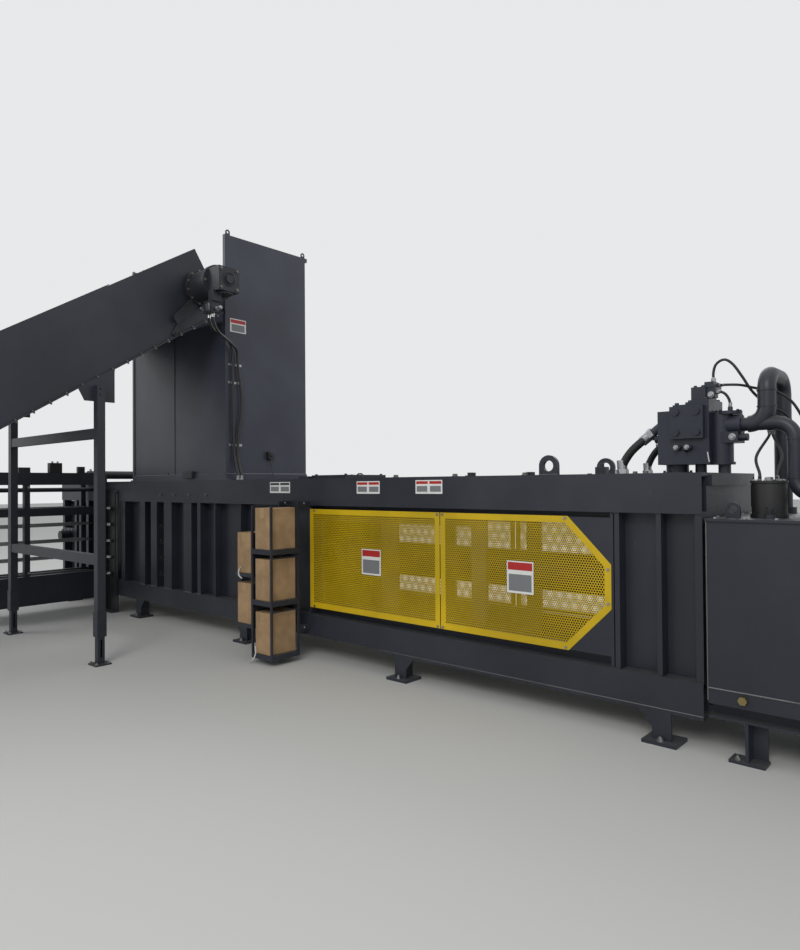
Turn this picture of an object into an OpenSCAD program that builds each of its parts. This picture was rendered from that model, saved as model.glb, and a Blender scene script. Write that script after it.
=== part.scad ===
/* [Body] */
// Overall length of the baler body
body_len = 8300; // [8000:10:8600]
// Overall width of the baler body
body_w = 1050; // [1000:2:1110]
// Height of the deck above the floor
deck_z = 1553; // [1540:1:1580]
// Depth of the side ribs
rib_d = 100; // [90:1:110]
// Thickness of the side wall plates
wall_t = 25; // [20:1:30]
// Thickness of the deck plates
deck_t = 12; // [8:1:14]
// Height of the top side beams
beam_h = 233; // [220:1:240]
// Height of the bottom rails
rail_h = 180; // [160:1:185]
// Height of the underside of the bottom rails
rail_z = 200; // [190:1:215]
// Thickness of the chamber floor plate
floor_t = 25; // [20:1:30]
// Top of the chamber floor plate
floor_z = 290; // [285:1:295]
// Underside of the press chamber roof
roof_z = 1400; // [1395:1:1410]
// Thickness of the press chamber roof
roof_t = 25; // [20:1:30]
// Thickness of the end plate that carries the main cylinder
end_t = 40; // [35:1:50]

/* [Feet] */
// Distance from the end of the body to the middle of its end foot
foot_end = 235; // [200:5:280]
// Distance from one foot to the next
foot_pitch = 2005; // [1900:5:2050]
// Width of a foot plate
foot_w = 200; // [180:2:220]
// Length of a foot plate across the body
foot_l = 180; // [170:2:200]
// Radius of an anchor hole
anchor_r = 11; // [9:0.5:13]
// Thickness of a foot plate
foot_t = 20; // [16:1:24]

/* [Window and guards] */
// Length of the side window
window_l = 2710; // [2690:2:2720]
// Distance from the window to the tank end of the body
window_end = 550; // [545:1:570]
// Lower edge of the side window
window_z0 = 470; // [460:1:480]
// Upper edge of the side window
window_z1 = 1262; // [1250:1:1270]
// Overlap of the guards over the window edge
guard_lap = 28; // [24:1:30]
// Width of a guard's solid border
guard_border = 44; // [36:1:50]
// Thickness of the guard sheet
guard_t = 4; // [3:0.5:6]
// Length of the left guard
guard_l = 1430; // [1420:2:1440]
// Gap between the two guards
guard_gap = 8; // [4:1:12]
// Size of the right guard's corner chamfers
chamfer = 288; // [260:1:300]
// Thickness of the plates behind the chamfers
corner_t = 6; // [5:0.5:8]

/* [Feed hopper] */
// Distance of the hopper centre from the middle of the body
hopper_off = 1300; // [1290:1:1310]
// Length of the hopper along the body
hopper_l = 1840; // [1830:1:1850]
// Depth of the hopper across the body
hopper_d = 1030; // [1000:1:1040]
// Height of the top of the hopper
hopper_top = 3990; // [3900:5:4050]
// Height of the top of the hopper's front wall
hopper_front_top = 3130; // [3100:2:3140]
// Thickness of the hopper sheet
hopper_t = 8; // [6:1:10]
// Height of the hopper's sill flange
sill_h = 60; // [50:1:65]

/* [Ram] */
// Travel of the ram past the wires
ram_past = 110; // [60:5:115]
// Length of the ram body
ram_len = 2950; // [2920:2:3000]
// Gap between the ram and the side walls
ram_gap = 8; // [5:1:12]
// Length of the platen head
head_l = 190; // [185:1:220]
// Outer radius of the main cylinder
barrel_r = 140; // [132:1:150]
// Bore radius of the main cylinder
bore_r = 115; // [110:1:120]
// Radius of the piston rod
rod_r = 80; // [70:1:84]
// Height of the cylinder axis
cyl_z = 862; // [850:1:875]
// Running clearance of pistons, rods and pins
fit = 0.05; // [0.03:0.01:0.08]

/* [Needle unit] */
// Distance of the needles from the bale end of the body
needle_end = 970; // [960:1:975]
// Height of the lowest wire
wire_z = 462; // [455:1:470]
// Distance between wire levels
wire_pitch = 194; // [190:1:195]
// Number of wires
wire_count = 5; // [5]
// Travel of the needles
needle_stroke = 1060; // [1000:5:1065]
// Length of the needle frame out from the body
needle_frame_l = 1440; // [1430:2:1480]
// Width of the needle frame
needle_frame_w = 500; // [480:2:520]
// Depth of a needle blade
needle_h = 44; // [36:1:50]

/* [Conveyor] */
// Slope of the conveyor in degrees
slope = 32.1; // [31.6:0.1:32.4]
// Outer width of the conveyor
conv_w = 1790; // [1780:1:1800]
// Depth of the conveyor's side panels
conv_d = 630; // [620:1:640]
// Length of the level section at the tail
tail_l = 1800; // [1600:10:2100]
// Thickness of the side panel sheet
panel_t = 6; // [5:1:8]
// Radius of the belt at the shafts
belt_r = 165; // [150:1:175]
// Thickness of the slat belt
belt_t = 16; // [12:1:20]
// Length of one slat
slat_pitch = 150; // [120:5:180]
// Width of a leg's post
leg_w = 68; // [64:1:72]
// Radius of the conveyor shafts
shaft_r = 35; // [30:1:40]

/* [Wire rack] */
// Width of a wire carton
carton_w = 196; // [180:1:200]
// Depth of a wire carton
carton_d = 285; // [260:1:290]
// Height of a wire carton
carton_h = 345; // [330:1:350]

/* [Power unit] */
// Length of the oil tank
tank_l = 1600; // [1500:10:1700]
// Width of the oil tank
tank_w = 1080; // [1050:2:1100]
// Top of the oil tank's shell
tank_top = 1285; // [1270:1:1290]
// Underside of the oil tank's shell
tank_bot = 300; // [290:1:310]
// Thickness of the tank sheet
tank_t = 6; // [5:1:8]
// Gap between the body and the tank
tank_gap = 30; // [25:1:40]

/* [Hidden] */
$fn = 48;

graphite = "#3b3f45";
dark_grey = "#26292d";
guard_yellow = "#e0c800";
bare_steel = "#b4b8bd";
black = "#17181a";
kraft = "#b08a5c";
brass_tone = "#b39b5a";

half_l = body_len / 2;
half_w = body_w / 2;
beam_z = deck_z - beam_h;
rail_top = rail_z + rail_h;
wall_y = half_w - rib_d;
inner_y = wall_y - wall_t;
wall_top = deck_z - deck_t;
floor_bot = floor_z - floor_t;

hop_c = -hopper_off;
hop_x0 = hop_c - hopper_l / 2;
hop_x1 = hop_c + hopper_l / 2;
hop_y = hopper_d / 2;
needle_px = -half_l + needle_end;
wire_levels = [for (i = [0:wire_count - 1]) wire_z + i * wire_pitch];
needle_slot_h = 70;
needle_slot_l = 120;

window_x1 = half_l - window_end;
window_x0 = window_x1 - window_l;
guard_x0 = window_x0 - guard_lap;
guard_x1 = guard_x0 + guard_l;
guard_x2 = guard_x1 + guard_gap;
guard_x3 = window_x1 + guard_lap / 2;
guard_z0 = window_z0 - guard_lap;
guard_z1 = window_z1 + guard_lap;

face_x = hop_x1 + 50;
stroke = face_x - needle_px + ram_past;
ram_back = face_x + ram_len;
ram_y = inner_y - ram_gap;
ram_z0 = floor_z + 0.3;
ram_top = roof_z - 15;
barrel_end = half_l - end_t;
piston_l = 150;
gland_l = 90;
base_l = 60;
end_play = 10;
barrel_len = stroke + piston_l + gland_l + base_l + end_play;
barrel_x0 = barrel_end - barrel_len;
piston_x1 = barrel_end - base_l;
pin_x = face_x + head_l + 130;
pin_r = 45;

tank_x0 = half_l + tank_gap;
tank_x1 = tank_x0 + tank_l;
tank_y = tank_w / 2;
lid_t = 14;
can_x = tank_x0 + 260;
can_y = -tank_y + 240;
lid_z = tank_top + lid_t;

valve_x = half_l - 230;
riser_x = valve_x - 85;
riser_r = 68;
pipe_x0 = valve_x + 305;
low_z = deck_z + 292;
low_x = pipe_x0 + 280;
port_z = lid_z + 121;
up_x = pipe_x0 + 135;
up_z = deck_z + 587;
riser_y = tank_y - 170;
pipe_r = 41;
up_r = 50;
bend_r = 100;
pump_x0 = tank_x0 + 780;
valve_y = 0;

module box(p, q) {
  translate(p) cube([for (i = [0:2]) q[i] - p[i]]);
}
module bar_x(x0, x1, y, z, r) {
  translate([x0, y, z]) rotate([0, 90, 0]) cylinder(h = x1 - x0, r = r);
}
module bar_y(x, y0, y1, z, r) {
  translate([x, y1, z]) rotate([90, 0, 0]) cylinder(h = y1 - y0, r = r);
}
module bar_z(x, y, z0, z1, r) {
  translate([x, y, z0]) cylinder(h = z1 - z0, r = r);
}
module both_sides() {
  children();
  mirror([0, 1, 0]) children();
}

// Tube swept along a list of points
function unit(v) = v / norm(v);
function curve_point(a, b, c, d, t) =
  0.5 * (2 * b + (c - a) * t + (2 * a - 5 * b + 4 * c - d) * t * t + (3 * b - a - 3 * c + d) * t * t * t);
function smooth(p, n) = [
  for (i = [0:len(p) - 2]) for (k = [0:n - 1])
    curve_point(p[max(i - 1, 0)], p[i], p[i + 1], p[min(i + 2, len(p) - 1)], k / n),
  p[len(p) - 1]
];
function heading(p, i) = unit(p[min(i + 1, len(p) - 1)] - p[max(i - 1, 0)]);
module hose(route, r, up, n = 2, sides = 8) {
  p = smooth(route, n);
  rings = [
    for (i = [0:len(p) - 1])
      let (t = heading(p, i), u = unit(cross(up, t)), v = cross(t, u))
        for (k = [0:sides - 1]) p[i] + r * (u * cos(360 * k / sides) + v * sin(360 * k / sides))
  ];
  last = (len(p) - 1) * sides;
  polyhedron(points = rings, faces = concat(
    [[for (k = [0:sides - 1]) sides - 1 - k]],
    [for (i = [0:len(p) - 2]) for (k = [0:sides - 1])
      let (a = i * sides + k, b = i * sides + (k + 1) % sides) [a, b, b + sides]],
    [for (i = [0:len(p) - 2]) for (k = [0:sides - 1])
      let (a = i * sides + k, b = i * sides + (k + 1) % sides) [a, b + sides, a + sides]],
    [[for (k = [0:sides - 1]) last + k]]
  ));
}

// Base
cross_l = 120;
foot_xs = concat([for (i = [0:3]) half_l - foot_end - i * foot_pitch], [foot_end - half_l]);
sole_x0 = half_l - 2450;
sole_t = 22;
module base_frame() color(graphite) {
  both_sides() difference() {
    box([-half_l, wall_y, rail_z], [half_l, half_w, rail_top]);
    box([-half_l - 1, wall_y + 10, rail_z + 10], [half_l + 1, half_w - 10, rail_top - 10]);
  }
  // Sole strips under the rails
  both_sides() box([sole_x0, wall_y, rail_z - sole_t], [half_l, half_w, rail_z]);
  for (x = foot_xs) box([x - cross_l / 2, -wall_y, rail_z], [x + cross_l / 2, wall_y, floor_bot]);
}
foot_y = half_w - 40;
anchor_y = half_w + 20;
foot_plate_t = 12;
foot_post_w = 110;
foot_web_t = 24;
foot_gusset_w = 75;
foot_gusset_h = 90;
// One foot under a rail, with its gusset on one side of the front plate
module foot(top, way) {
  difference() {
    box([-foot_w / 2, foot_y - foot_l / 2, 0], [foot_w / 2, foot_y + foot_l / 2, foot_t]);
    bar_z(0, anchor_y, -1, foot_t + 1, anchor_r);
  }
  edge = way * foot_post_w / 2;
  translate([0, half_w, 0]) rotate([90, 0, 0]) linear_extrude(foot_plate_t) polygon([
    [-edge, foot_t], [edge, foot_t], [edge, top - foot_gusset_h], [edge + way * foot_gusset_w, top], [-edge, top]
  ]);
  box([-foot_web_t / 2, foot_y - foot_l / 2, foot_t], [foot_web_t / 2, half_w - foot_plate_t, top]);
}
module feet() color(graphite) {
  for (i = [0:len(foot_xs) - 1]) translate([foot_xs[i], 0, 0]) both_sides()
    foot(foot_xs[i] > sole_x0 ? rail_z - sole_t : rail_z, i % 2 == 0 ? -1 : 1);
}
module chamber_floor() color(bare_steel) {
  box([-half_l, -wall_y, floor_bot], [half_l - end_t, wall_y, floor_z]);
}

// Sizes of the tension pads and their hinges
pad_x = needle_px - 300;
pad_r = 18;
pad_pin_r = 10;
pad_y = wall_y;
pad_z0 = rail_top + 14;
pad_z1 = beam_z - 14;
pad_hinge_z0 = pad_z0 + 6;
pad_hinge_z1 = pad_z1 - 6;
pad_lug_t = 15;
pad_t = 20;
pad_push_x = needle_px - 730;
pad_push_z = cyl_z;
pad_rod_r = 25;

// Side frames with their ribs, window and needle slots
rib_set_back = 12;
module needle_slots(y0, y1) {
  for (z = wire_levels)
    box(
      [needle_px - needle_slot_l / 2, y0, z - needle_slot_h / 2],
      [needle_px + needle_slot_l / 2, y1, z + needle_slot_h / 2]
    );
}
module side_rib(x, w) {
  box([x - w / 2, wall_y, rail_top], [x + w / 2, half_w - rib_set_back, beam_z]);
}
chamber_ribs = [
  [hop_c - 725, 110], [hop_c - 475, 130], [hop_c - 180, 160], [hop_c + 215, 150], [hop_c + 430, 60],
  [hop_c + 720, 14], [hop_c + 1150, 14], [hop_c + 1720, 30]
];
end_ribs = [[half_l - 498, 31], [half_l - 244, 29]];
outlet_ribs = [[needle_px + 700, 90], [needle_px - 240, 60], [needle_px - 580, 60], [-half_l + 30, 60]];
module side_frame() {
  difference() {
    box([-half_l, inner_y, floor_z], [half_l - end_t, wall_y, wall_top]);
    box([window_x0, inner_y - 1, window_z0], [window_x1, wall_y + 1, window_z1]);
    needle_slots(inner_y - 1, wall_y + 1);
    box([-half_l - 1, inner_y - 1, pad_z0 - 4], [pad_x + pad_r + 4, wall_y + 1, pad_z1 + 4]);
  }
  // Hinge pin of the tension pad between two lugs
  bar_z(pad_x, pad_y, pad_hinge_z0, pad_hinge_z1, pad_pin_r);
  for (z = [pad_hinge_z0, pad_hinge_z1 - pad_lug_t])
    box([pad_x - 20, wall_y - pad_pin_r, z], [pad_x + 30, half_w - rib_set_back, z + pad_lug_t]);
  for (r = concat(chamber_ribs, end_ribs, outlet_ribs)) side_rib(r[0], r[1]);
  // Frame of flat bars around the window that carries the guards
  difference() {
    box([guard_x0 - 14, wall_y, rail_top], [guard_x3 + 14, half_w - rib_set_back - guard_t, beam_z]);
    box([window_x0, wall_y - 1, window_z0], [window_x1, half_w, window_z1]);
    box([guard_x0 + 6, wall_y - 1, rail_top - 1], [guard_x3 - 6, half_w, window_z0 - 24]);
    box([guard_x0 + 6, wall_y - 1, window_z1 + 24], [guard_x3 - 6, half_w, beam_z + 1]);
  }
  // Corner plates behind the chamfers of the right guard
  translate([0, half_w - rib_set_back - guard_t, 0]) rotate([90, 0, 0]) linear_extrude(corner_t)
    for (z = [window_z0, window_z1]) {
      inward = z == window_z0 ? 1 : -1;
      polygon([
        [window_x1 + 5, z - inward * 5], [window_x1 + 5, z + inward * chamfer],
        [window_x1, z + inward * chamfer], [window_x1 - chamfer, z],
        [window_x1 - chamfer, z - inward * 5]
      ]);
    }
}
module front_side() color(graphite) mirror([0, 1, 0]) side_frame();
module back_side() color(graphite) side_frame();

// Top beams, deck, roof and knife
module top_frame() color(graphite) {
  both_sides() difference() {
    box([-half_l, wall_y, beam_z], [half_l, half_w, wall_top]);
    box([-half_l - 1, wall_y + 10, beam_z + 12], [half_l + 1, half_w - 12, wall_top - 10]);
  }
  lifting_lugs();
  difference() {
    box([-half_l, -half_w, wall_top], [half_l, half_w, deck_z]);
    box([hop_x0, -inner_y, wall_top - 1], [hop_x1, inner_y, deck_z + 1]);
    bar_z(riser_x, valve_y, wall_top - 1, deck_z + 1, riser_r + 2);
  }
}
module chamber_roof() color(graphite) {
  box([-half_l, -inner_y, roof_z], [hop_x0, inner_y, roof_z + roof_t]);
  for (x = [-half_l + 20, needle_px - 420, needle_px + 280, hop_x0 - 12])
    box([x - 12, -inner_y, roof_z + roof_t], [x + 12, inner_y, wall_top]);
}
module shear_blade() color(bare_steel) difference() {
  box([hop_x0, -inner_y + 2, roof_z - 2], [hop_x0 + 40, inner_y - 2, roof_z + 100]);
  for (y = [-300:150:300])
    bar_x(hop_x0 - 1, hop_x0 + 41, y, roof_z + 50, 11);
}
module end_plate() color(graphite) {
  difference() {
    union() {
      box([half_l - end_t, -wall_y, rail_z], [half_l, wall_y, wall_top]);
      box([half_l - end_t, rib_set_back - half_w, rail_top], [half_l, half_w - rib_set_back, beam_z]);
    }
    bar_x(half_l - end_t - 1, half_l + 1, 0, cyl_z, 60);
  }
  // Stiffening bars across the outside
  for (z = [rail_z + 40, 560, 1130, wall_top - 62])
    box([half_l, -wall_y + 20, z], [half_l + 22, wall_y - 20, z + 60]);
}
cover_x0 = window_x0 - 130;
module deck_cover() color(graphite) {
  box([cover_x0, -400, deck_z], [cover_x0 + 434, 100, deck_z + 30]);
  box([cover_x0 - 130, -440, deck_z], [cover_x0, -300, deck_z + 22]);
  for (x = [cover_x0 + 30, cover_x0 + 404]) for (y = [-370, 70])
    bar_z(x, y, deck_z + 30, deck_z + 40, 12);
}
lug_x = half_l - 1000;
lug_y = half_w - 100;
module lug(w, h, t, r) rotate([90, 0, 0]) translate([0, 0, -t / 2]) linear_extrude(t) difference() {
  union() {
    translate([0, h - w / 2]) circle(w / 2);
    translate([-w / 2, 0]) square([w, h - w / 2]);
  }
  translate([0, h - w / 2]) circle(r);
}
module lifting_lugs() {
  for (x = [lug_x, -half_l + 500]) for (y = [-lug_y, lug_y])
    translate([x, y, deck_z]) lug(140, 130, 24, 36);
}

// Guards over the side window
guard_y = half_w - rib_set_back - guard_t;
guard_sheet_t = 1.5;
module guard_outline(x0, x1, c, m) {
  polygon([
    [x0 + m, guard_z0 + m], [x1 - max(c, m) - (c > 0 ? m * 0.41 : 0), guard_z0 + m],
    [x1 - m, guard_z0 + max(c, m) + (c > 0 ? m * 0.41 : 0)],
    [x1 - m, guard_z1 - max(c, m) - (c > 0 ? m * 0.41 : 0)],
    [x1 - max(c, m) - (c > 0 ? m * 0.41 : 0), guard_z1 - m], [x0 + m, guard_z1 - m]
  ]);
}
module guard(x0, x1, c) {
  // Folded border around a thin recessed sheet
  translate([0, guard_y + guard_t, 0]) rotate([90, 0, 0]) linear_extrude(guard_t) difference() {
    guard_outline(x0, x1, c, 0);
    guard_outline(x0, x1, c, guard_border);
  }
  translate([0, guard_y + guard_sheet_t, 0]) rotate([90, 0, 0]) linear_extrude(guard_sheet_t)
    guard_outline(x0, x1, c, guard_border);
}
module left_guard() color(guard_yellow) mirror([0, 1, 0]) guard(guard_x0, guard_x1, 0);
module right_guard() color(guard_yellow) mirror([0, 1, 0]) guard(guard_x2, guard_x3, chamfer);
module back_guards() color(guard_yellow) {
  guard(guard_x0, guard_x1, 0);
  guard(guard_x2, guard_x3, chamfer);
}
screw_xs = [guard_x0 + 60, guard_x1 - 20, guard_x2 + 20, guard_x3 - chamfer - 20];
module guard_screws() color(bare_steel) {
  both_sides() for (x = screw_xs) for (z = [guard_z0 + 14, guard_z1 - 14])
    bar_y(x, guard_y + guard_t, guard_y + guard_t + 7, z, 9);
  both_sides() for (z = [guard_z0 + 320, guard_z1 - 320])
    bar_y(guard_x3 - 20, guard_y + guard_t, guard_y + guard_t + 7, z, 9);
}

// Blank plates where the machine carries its signs: centre x, centre z, width, height
sign_t = 1.5;
guard_signs = [[guard_x0 + 736, 878, 210, 205], [guard_x2 + 674, 872, 205, 215]];
beam_sign_z = beam_z + 156;
beam_signs = [
  [guard_x0 - 393, beam_sign_z, 285, 99], [guard_x0 + 718, beam_sign_z - 2, 255, 100],
  [guard_x0 + 1343, beam_sign_z + 1, 255, 102]
];
hopper_sign_y = -hop_y + 148;
hopper_sign_z = hopper_front_top - 32;
module sign(s, y0, y1) {
  box([s[0] - s[2] / 2, y0, s[1] - s[3] / 2], [s[0] + s[2] / 2, y1, s[1] + s[3] / 2]);
}
module sign_plates() color("white") {
  for (s = guard_signs) sign(s, -guard_y - guard_t - sign_t, -guard_y - guard_sheet_t);
  for (s = beam_signs) sign(s, -half_w - sign_t, -half_w);
  box(
    [hop_x1, hopper_sign_y - 95, hopper_sign_z - 68],
    [hop_x1 + sign_t, hopper_sign_y + 95, hopper_sign_z + 67]
  );
}

// Feed hopper
module hopper() color(graphite) {
  z0 = deck_z + 12;
  difference() {
    box([hop_x0, -hop_y, z0], [hop_x1, hop_y, hopper_top]);
    box(
      [hop_x0 + hopper_t, -hop_y + hopper_t, z0 - 1],
      [hop_x1 - hopper_t, hop_y - hopper_t, hopper_top + 1]
    );
    box([hop_x0 + hopper_t, -hop_y - 1, hopper_front_top], [hop_x1 - hopper_t, 0, hopper_top + 1]);
  }
  // Edge flanges of the two side sheets and the back
  for (s = [0, 1])
    box(
      [s == 0 ? hop_x0 - 8 : hop_x1 - 32, -hop_y - 8, z0 + 48],
      [s == 0 ? hop_x0 + 32 : hop_x1 + 8, -hop_y, hopper_top]
    );
  box([hop_x0, hop_y, hopper_top - 40], [hop_x1, hop_y + 30, hopper_top]);
  lifting_eyes();
  // Cover strip over the joint of the two front sheets
  box([hop_c - 50, -hop_y - 5, z0 + 48], [hop_c - 20, -hop_y, hopper_front_top]);
}
module hopper_sill() color(graphite) {
  difference() {
    box([hop_x0 - 50, -hop_y - 10, deck_z], [hop_x1 + 50, hop_y + 10, deck_z + 12]);
    box([hop_x0 + hopper_t, -inner_y, deck_z - 1], [hop_x1 - hopper_t, inner_y, deck_z + 13]);
  }
  difference() {
    box([hop_x0 - 8, -hop_y - 8, deck_z + 12], [hop_x1 + 8, hop_y + 8, deck_z + sill_h]);
    box([hop_x0, -hop_y, deck_z + 11], [hop_x1, hop_y, deck_z + sill_h + 1]);
  }
}
left_eye_in = 130;
right_eye_in = 30;
module lifting_eyes() {
  both_sides() for (p = [[hop_x0 + hopper_t / 2, left_eye_in], [hop_x1 - hopper_t / 2, right_eye_in]])
    translate([p[0], hop_y - p[1], hopper_top]) rotate([0, 0, 90]) lug(50, 52, 10, 13);
}

// Ram
module ram_body() color(bare_steel) {
  difference() {
    box([face_x, -ram_y, ram_z0], [ram_back, ram_y, ram_top]);
    box([face_x + head_l, -ram_y + 25, ram_z0 + 25], [ram_back + 1, ram_y - 25, ram_top - 25]);
    for (z = wire_levels)
      box([face_x - 1, -ram_y - 1, z - 32], [face_x + head_l - 30, ram_y + 1, z + 32]);
    for (i = [0:2]) {
      x = face_x + head_l + 150 + i * 880;
      box([x, -ram_y - 1, ram_z0 + 200], [x + 720, ram_y + 1, ram_top - 200]);
    }
    box([face_x - 1, -ram_y - 1, ram_top - 40], [face_x + 60, ram_y + 1, ram_top + 1]);
    box([face_x + head_l + 300, -260, ram_z0 - 1], [ram_back - 300, 260, ram_z0 + 30]);
  }
  // Clevis ears for the rod
  for (s = [-1, 1]) difference() {
    box([face_x + head_l, s * 130 - 30, cyl_z - 110], [pin_x + 90, s * 130 + 30, cyl_z + 110]);
    bar_y(pin_x, -200, 200, cyl_z, pin_r + fit);
  }
}
module ram_knife() color(bare_steel) difference() {
  box([face_x, -ram_y, ram_top - 40], [face_x + 60, ram_y, ram_top]);
  for (y = [-300:150:300])
    bar_z(face_x + 30, y, ram_top - 41, ram_top + 1, 9);
}
module ram_rod() color(bare_steel) {
  difference() {
    union() {
      bar_x(pin_x + 60, piston_x1 - piston_l, 0, cyl_z, rod_r - fit);
      bar_x(pin_x - 70, pin_x + 60, 0, cyl_z, 99.7);
      bar_x(piston_x1 - piston_l, piston_x1 - 0.3, 0, cyl_z, bore_r - fit);
    }
    bar_y(pin_x, -120, 120, cyl_z, pin_r + fit);
  }
}
module rod_pin() color(bare_steel) {
  bar_y(pin_x, -175, 175, cyl_z, pin_r);
  for (s = [-1, 1]) translate([pin_x, s * 167.3, cyl_z]) rotate([90, 0, 0])
    cylinder(h = 14, r = 62, center = true);
}
module main_cylinder() color(dark_grey) {
  difference() {
    union() {
      bar_x(barrel_x0, barrel_end, 0, cyl_z, barrel_r);
      bar_x(barrel_x0, barrel_x0 + 70, 0, cyl_z, barrel_r + 35);
      bar_x(barrel_end - 50, barrel_end, 0, cyl_z, barrel_r + 50);
      bar_z(riser_x, valve_y, cyl_z, deck_z, riser_r);
    }
    bar_x(barrel_x0 + gland_l, barrel_end - base_l, 0, cyl_z, bore_r);
    bar_x(barrel_x0 - 1, barrel_x0 + gland_l + 1, 0, cyl_z, rod_r);
    bar_z(riser_x, valve_y, cyl_z, deck_z + 1, riser_r - 18);
  }
  for (a = [0:45:315]) translate([0, (barrel_r + 20) * cos(a), cyl_z + (barrel_r + 20) * sin(a)])
    bar_x(barrel_x0 - 20, barrel_x0, 0, 0, 13);
}

// Prefill valve block over the cylinder base
valve_z1 = deck_z + 426;
valve_foot = 56;
valve_left = valve_x - 65;
port_block_x = valve_x - 163;
valve_plate_x = valve_x + 28;
valve_plate_z = deck_z + 313;
valve_plate = 200;
stem_x = valve_x + 180;
module prefill_valve() color(dark_grey) {
  vy0 = valve_y - 130;
  vy1 = valve_y + 130;
  z0 = deck_z + valve_foot;
  // Feet on the deck, the first one over the riser from the cylinder
  bar_z(riser_x, valve_y, deck_z, deck_z + 10, riser_r + 22);
  bar_z(riser_x, valve_y, deck_z, z0, riser_r);
  bar_z(valve_x + 60, valve_y, deck_z, z0, 34);
  bar_z(stem_x + 20, valve_y, deck_z, z0, 36);
  // Main block with the stepped blocks on top
  difference() {
    box([valve_left, vy0, z0], [valve_x + 152, vy1, valve_z1]);
    bar_y(valve_x + 20, vy0 - 1, vy1 + 1, deck_z + 147, 18);
  }
  box([valve_x + 30, vy0, valve_z1], [valve_x + 152, vy1, valve_z1 + 24]);
  box([valve_x + 45, vy0 + 10, valve_z1 + 24], [valve_x + 130, vy1 - 40, valve_z1 + 102]);
  box([valve_x + 118, vy0 + 30, valve_z1 + 94], [valve_x + 172, vy1 - 80, valve_z1 + 131]);
  box([valve_x + 130, vy0 + 30, valve_z1 + 33], [valve_x + 180, vy0 + 90, valve_z1 + 92]);
  // Square cover plate with its four screws
  box(
    [valve_plate_x - valve_plate / 2, vy0 - 40, valve_plate_z - valve_plate / 2],
    [valve_plate_x + valve_plate / 2, vy0, valve_plate_z + valve_plate / 2]
  );
  for (x = [-62, 62]) for (z = [-63, 63])
    bar_y(valve_plate_x + x, vy0 - 54, vy0 - 40, valve_plate_z + z, 21);
  // Port block on the left with the hose fitting, and the ear over it
  box([port_block_x, vy0 + 5, z0], [valve_left, vy1 - 30, deck_z + 330]);
  box([port_block_x - 6, vy0 + 20, deck_z + 330], [valve_left, vy1 - 20, deck_z + 394]);
  translate([port_block_x + 18, vy0 + 35, deck_z + 307]) rotate([0, -90 - atan(3 / 4), 0])
    cylinder(h = 69.9, r = 28);
  for (x = [-30, 35]) bar_y(valve_x + x, vy0 - 36, vy0, deck_z + 159, 20);
  // Round body on the right
  bar_z(stem_x, valve_y, z0 - 4, z0 + 12, 82);
  bar_z(stem_x, valve_y, z0 + 12, low_z + 80, 72);
  bar_z(stem_x + 45, valve_y, low_z + 65, low_z + 84, 78);
  bar_x(stem_x, pipe_x0, valve_y, low_z, 62);
  box([stem_x, valve_y - 70, low_z - 110], [pipe_x0 - 8, valve_y + 70, low_z - 45]);
  bar_x(pipe_x0 - 8, pipe_x0 + 40, valve_y - 30, low_z - 79, 22);
  bar_z(stem_x + 74, valve_y - 60, low_z + 84, low_z + 105, 14);
}

// Suction pipes between the valve and the tank
module elbow(r, bend) rotate_extrude(angle = 90) translate([bend, 0]) circle(r);
module suction_pipes() color(graphite) {
  // Lower pipe: out of the valve, down beside the filter and along to the pump
  bar_x(pipe_x0, low_x - bend_r, valve_y, low_z, pipe_r);
  translate([low_x - bend_r, valve_y, low_z - bend_r]) rotate([90, 0, 0]) elbow(pipe_r, bend_r);
  bar_z(low_x, valve_y, port_z + bend_r, low_z - bend_r, pipe_r);
  translate([low_x + bend_r, valve_y, port_z + bend_r]) rotate([90, 0, 0]) rotate([0, 0, 180])
    elbow(pipe_r, bend_r);
  bar_x(low_x + bend_r, pump_x0, valve_y, port_z, pipe_r);
  for (z = [port_z + bend_r, low_z - bend_r]) bar_z(low_x, valve_y, z - 4, z + 4, pipe_r + 4);
  // Upper pipe: branches up, then back over the tank and down into its lid
  translate([up_x - bend_r, valve_y, low_z + bend_r]) rotate([90, 0, 0]) rotate([0, 0, -90])
    elbow(up_r, bend_r);
  bar_z(up_x, valve_y, low_z + bend_r, up_z - bend_r, up_r);
  translate([up_x, valve_y + bend_r, up_z - bend_r]) rotate([90, 0, -90]) elbow(up_r, bend_r);
  bar_y(up_x, valve_y + bend_r, riser_y - bend_r, up_z, up_r);
  translate([up_x, riser_y - bend_r, up_z - bend_r]) rotate([90, 0, 90]) elbow(up_r, bend_r);
  bar_z(up_x, riser_y, lid_z + 40, up_z - bend_r, up_r);
  for (z = [low_z + bend_r, up_z - bend_r]) bar_z(up_x, valve_y, z - 4, z + 4, up_r + 4);
}
valve_hose_a = [
  [3520, -120, 1553], [3520, -120, 1600], [3540, -120, 1645], [3580, -118, 1700], [3635, -110, 1752],
  [3699, -95, 1803], [3719, -95, 1818]
];
valve_hose_b = [
  [3608, 80, 1553], [3608, 80, 1595], [3624, 80, 1640], [3656, 76, 1690], [3697, 68, 1727],
  [3735, 60, 1745], [3757, 60, 1745]
];
pilot_hose_a = [
  [4080, -60, 2110], [4080, -60, 2170], [4098, -60, 2220], [4144, -56, 2241], [4188, -45, 2208],
  [4232, -28, 2135], [4282, 20, 2035], [4340, 130, 1960], [4420, 205, 1900], [4475, 260, 1760],
  [4500, 300, 1500], [4500, 300, 1299]
];
pilot_hose_b = [
  [4092, 0, 2095], [4122, 0, 2095], [4205, 40, 2090], [4280, 88, 2068], [4370, 130, 2050],
  [4470, 160, 1960], [4545, 205, 1760], [4560, 230, 1540], [4560, 230, 1299]
];
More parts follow.
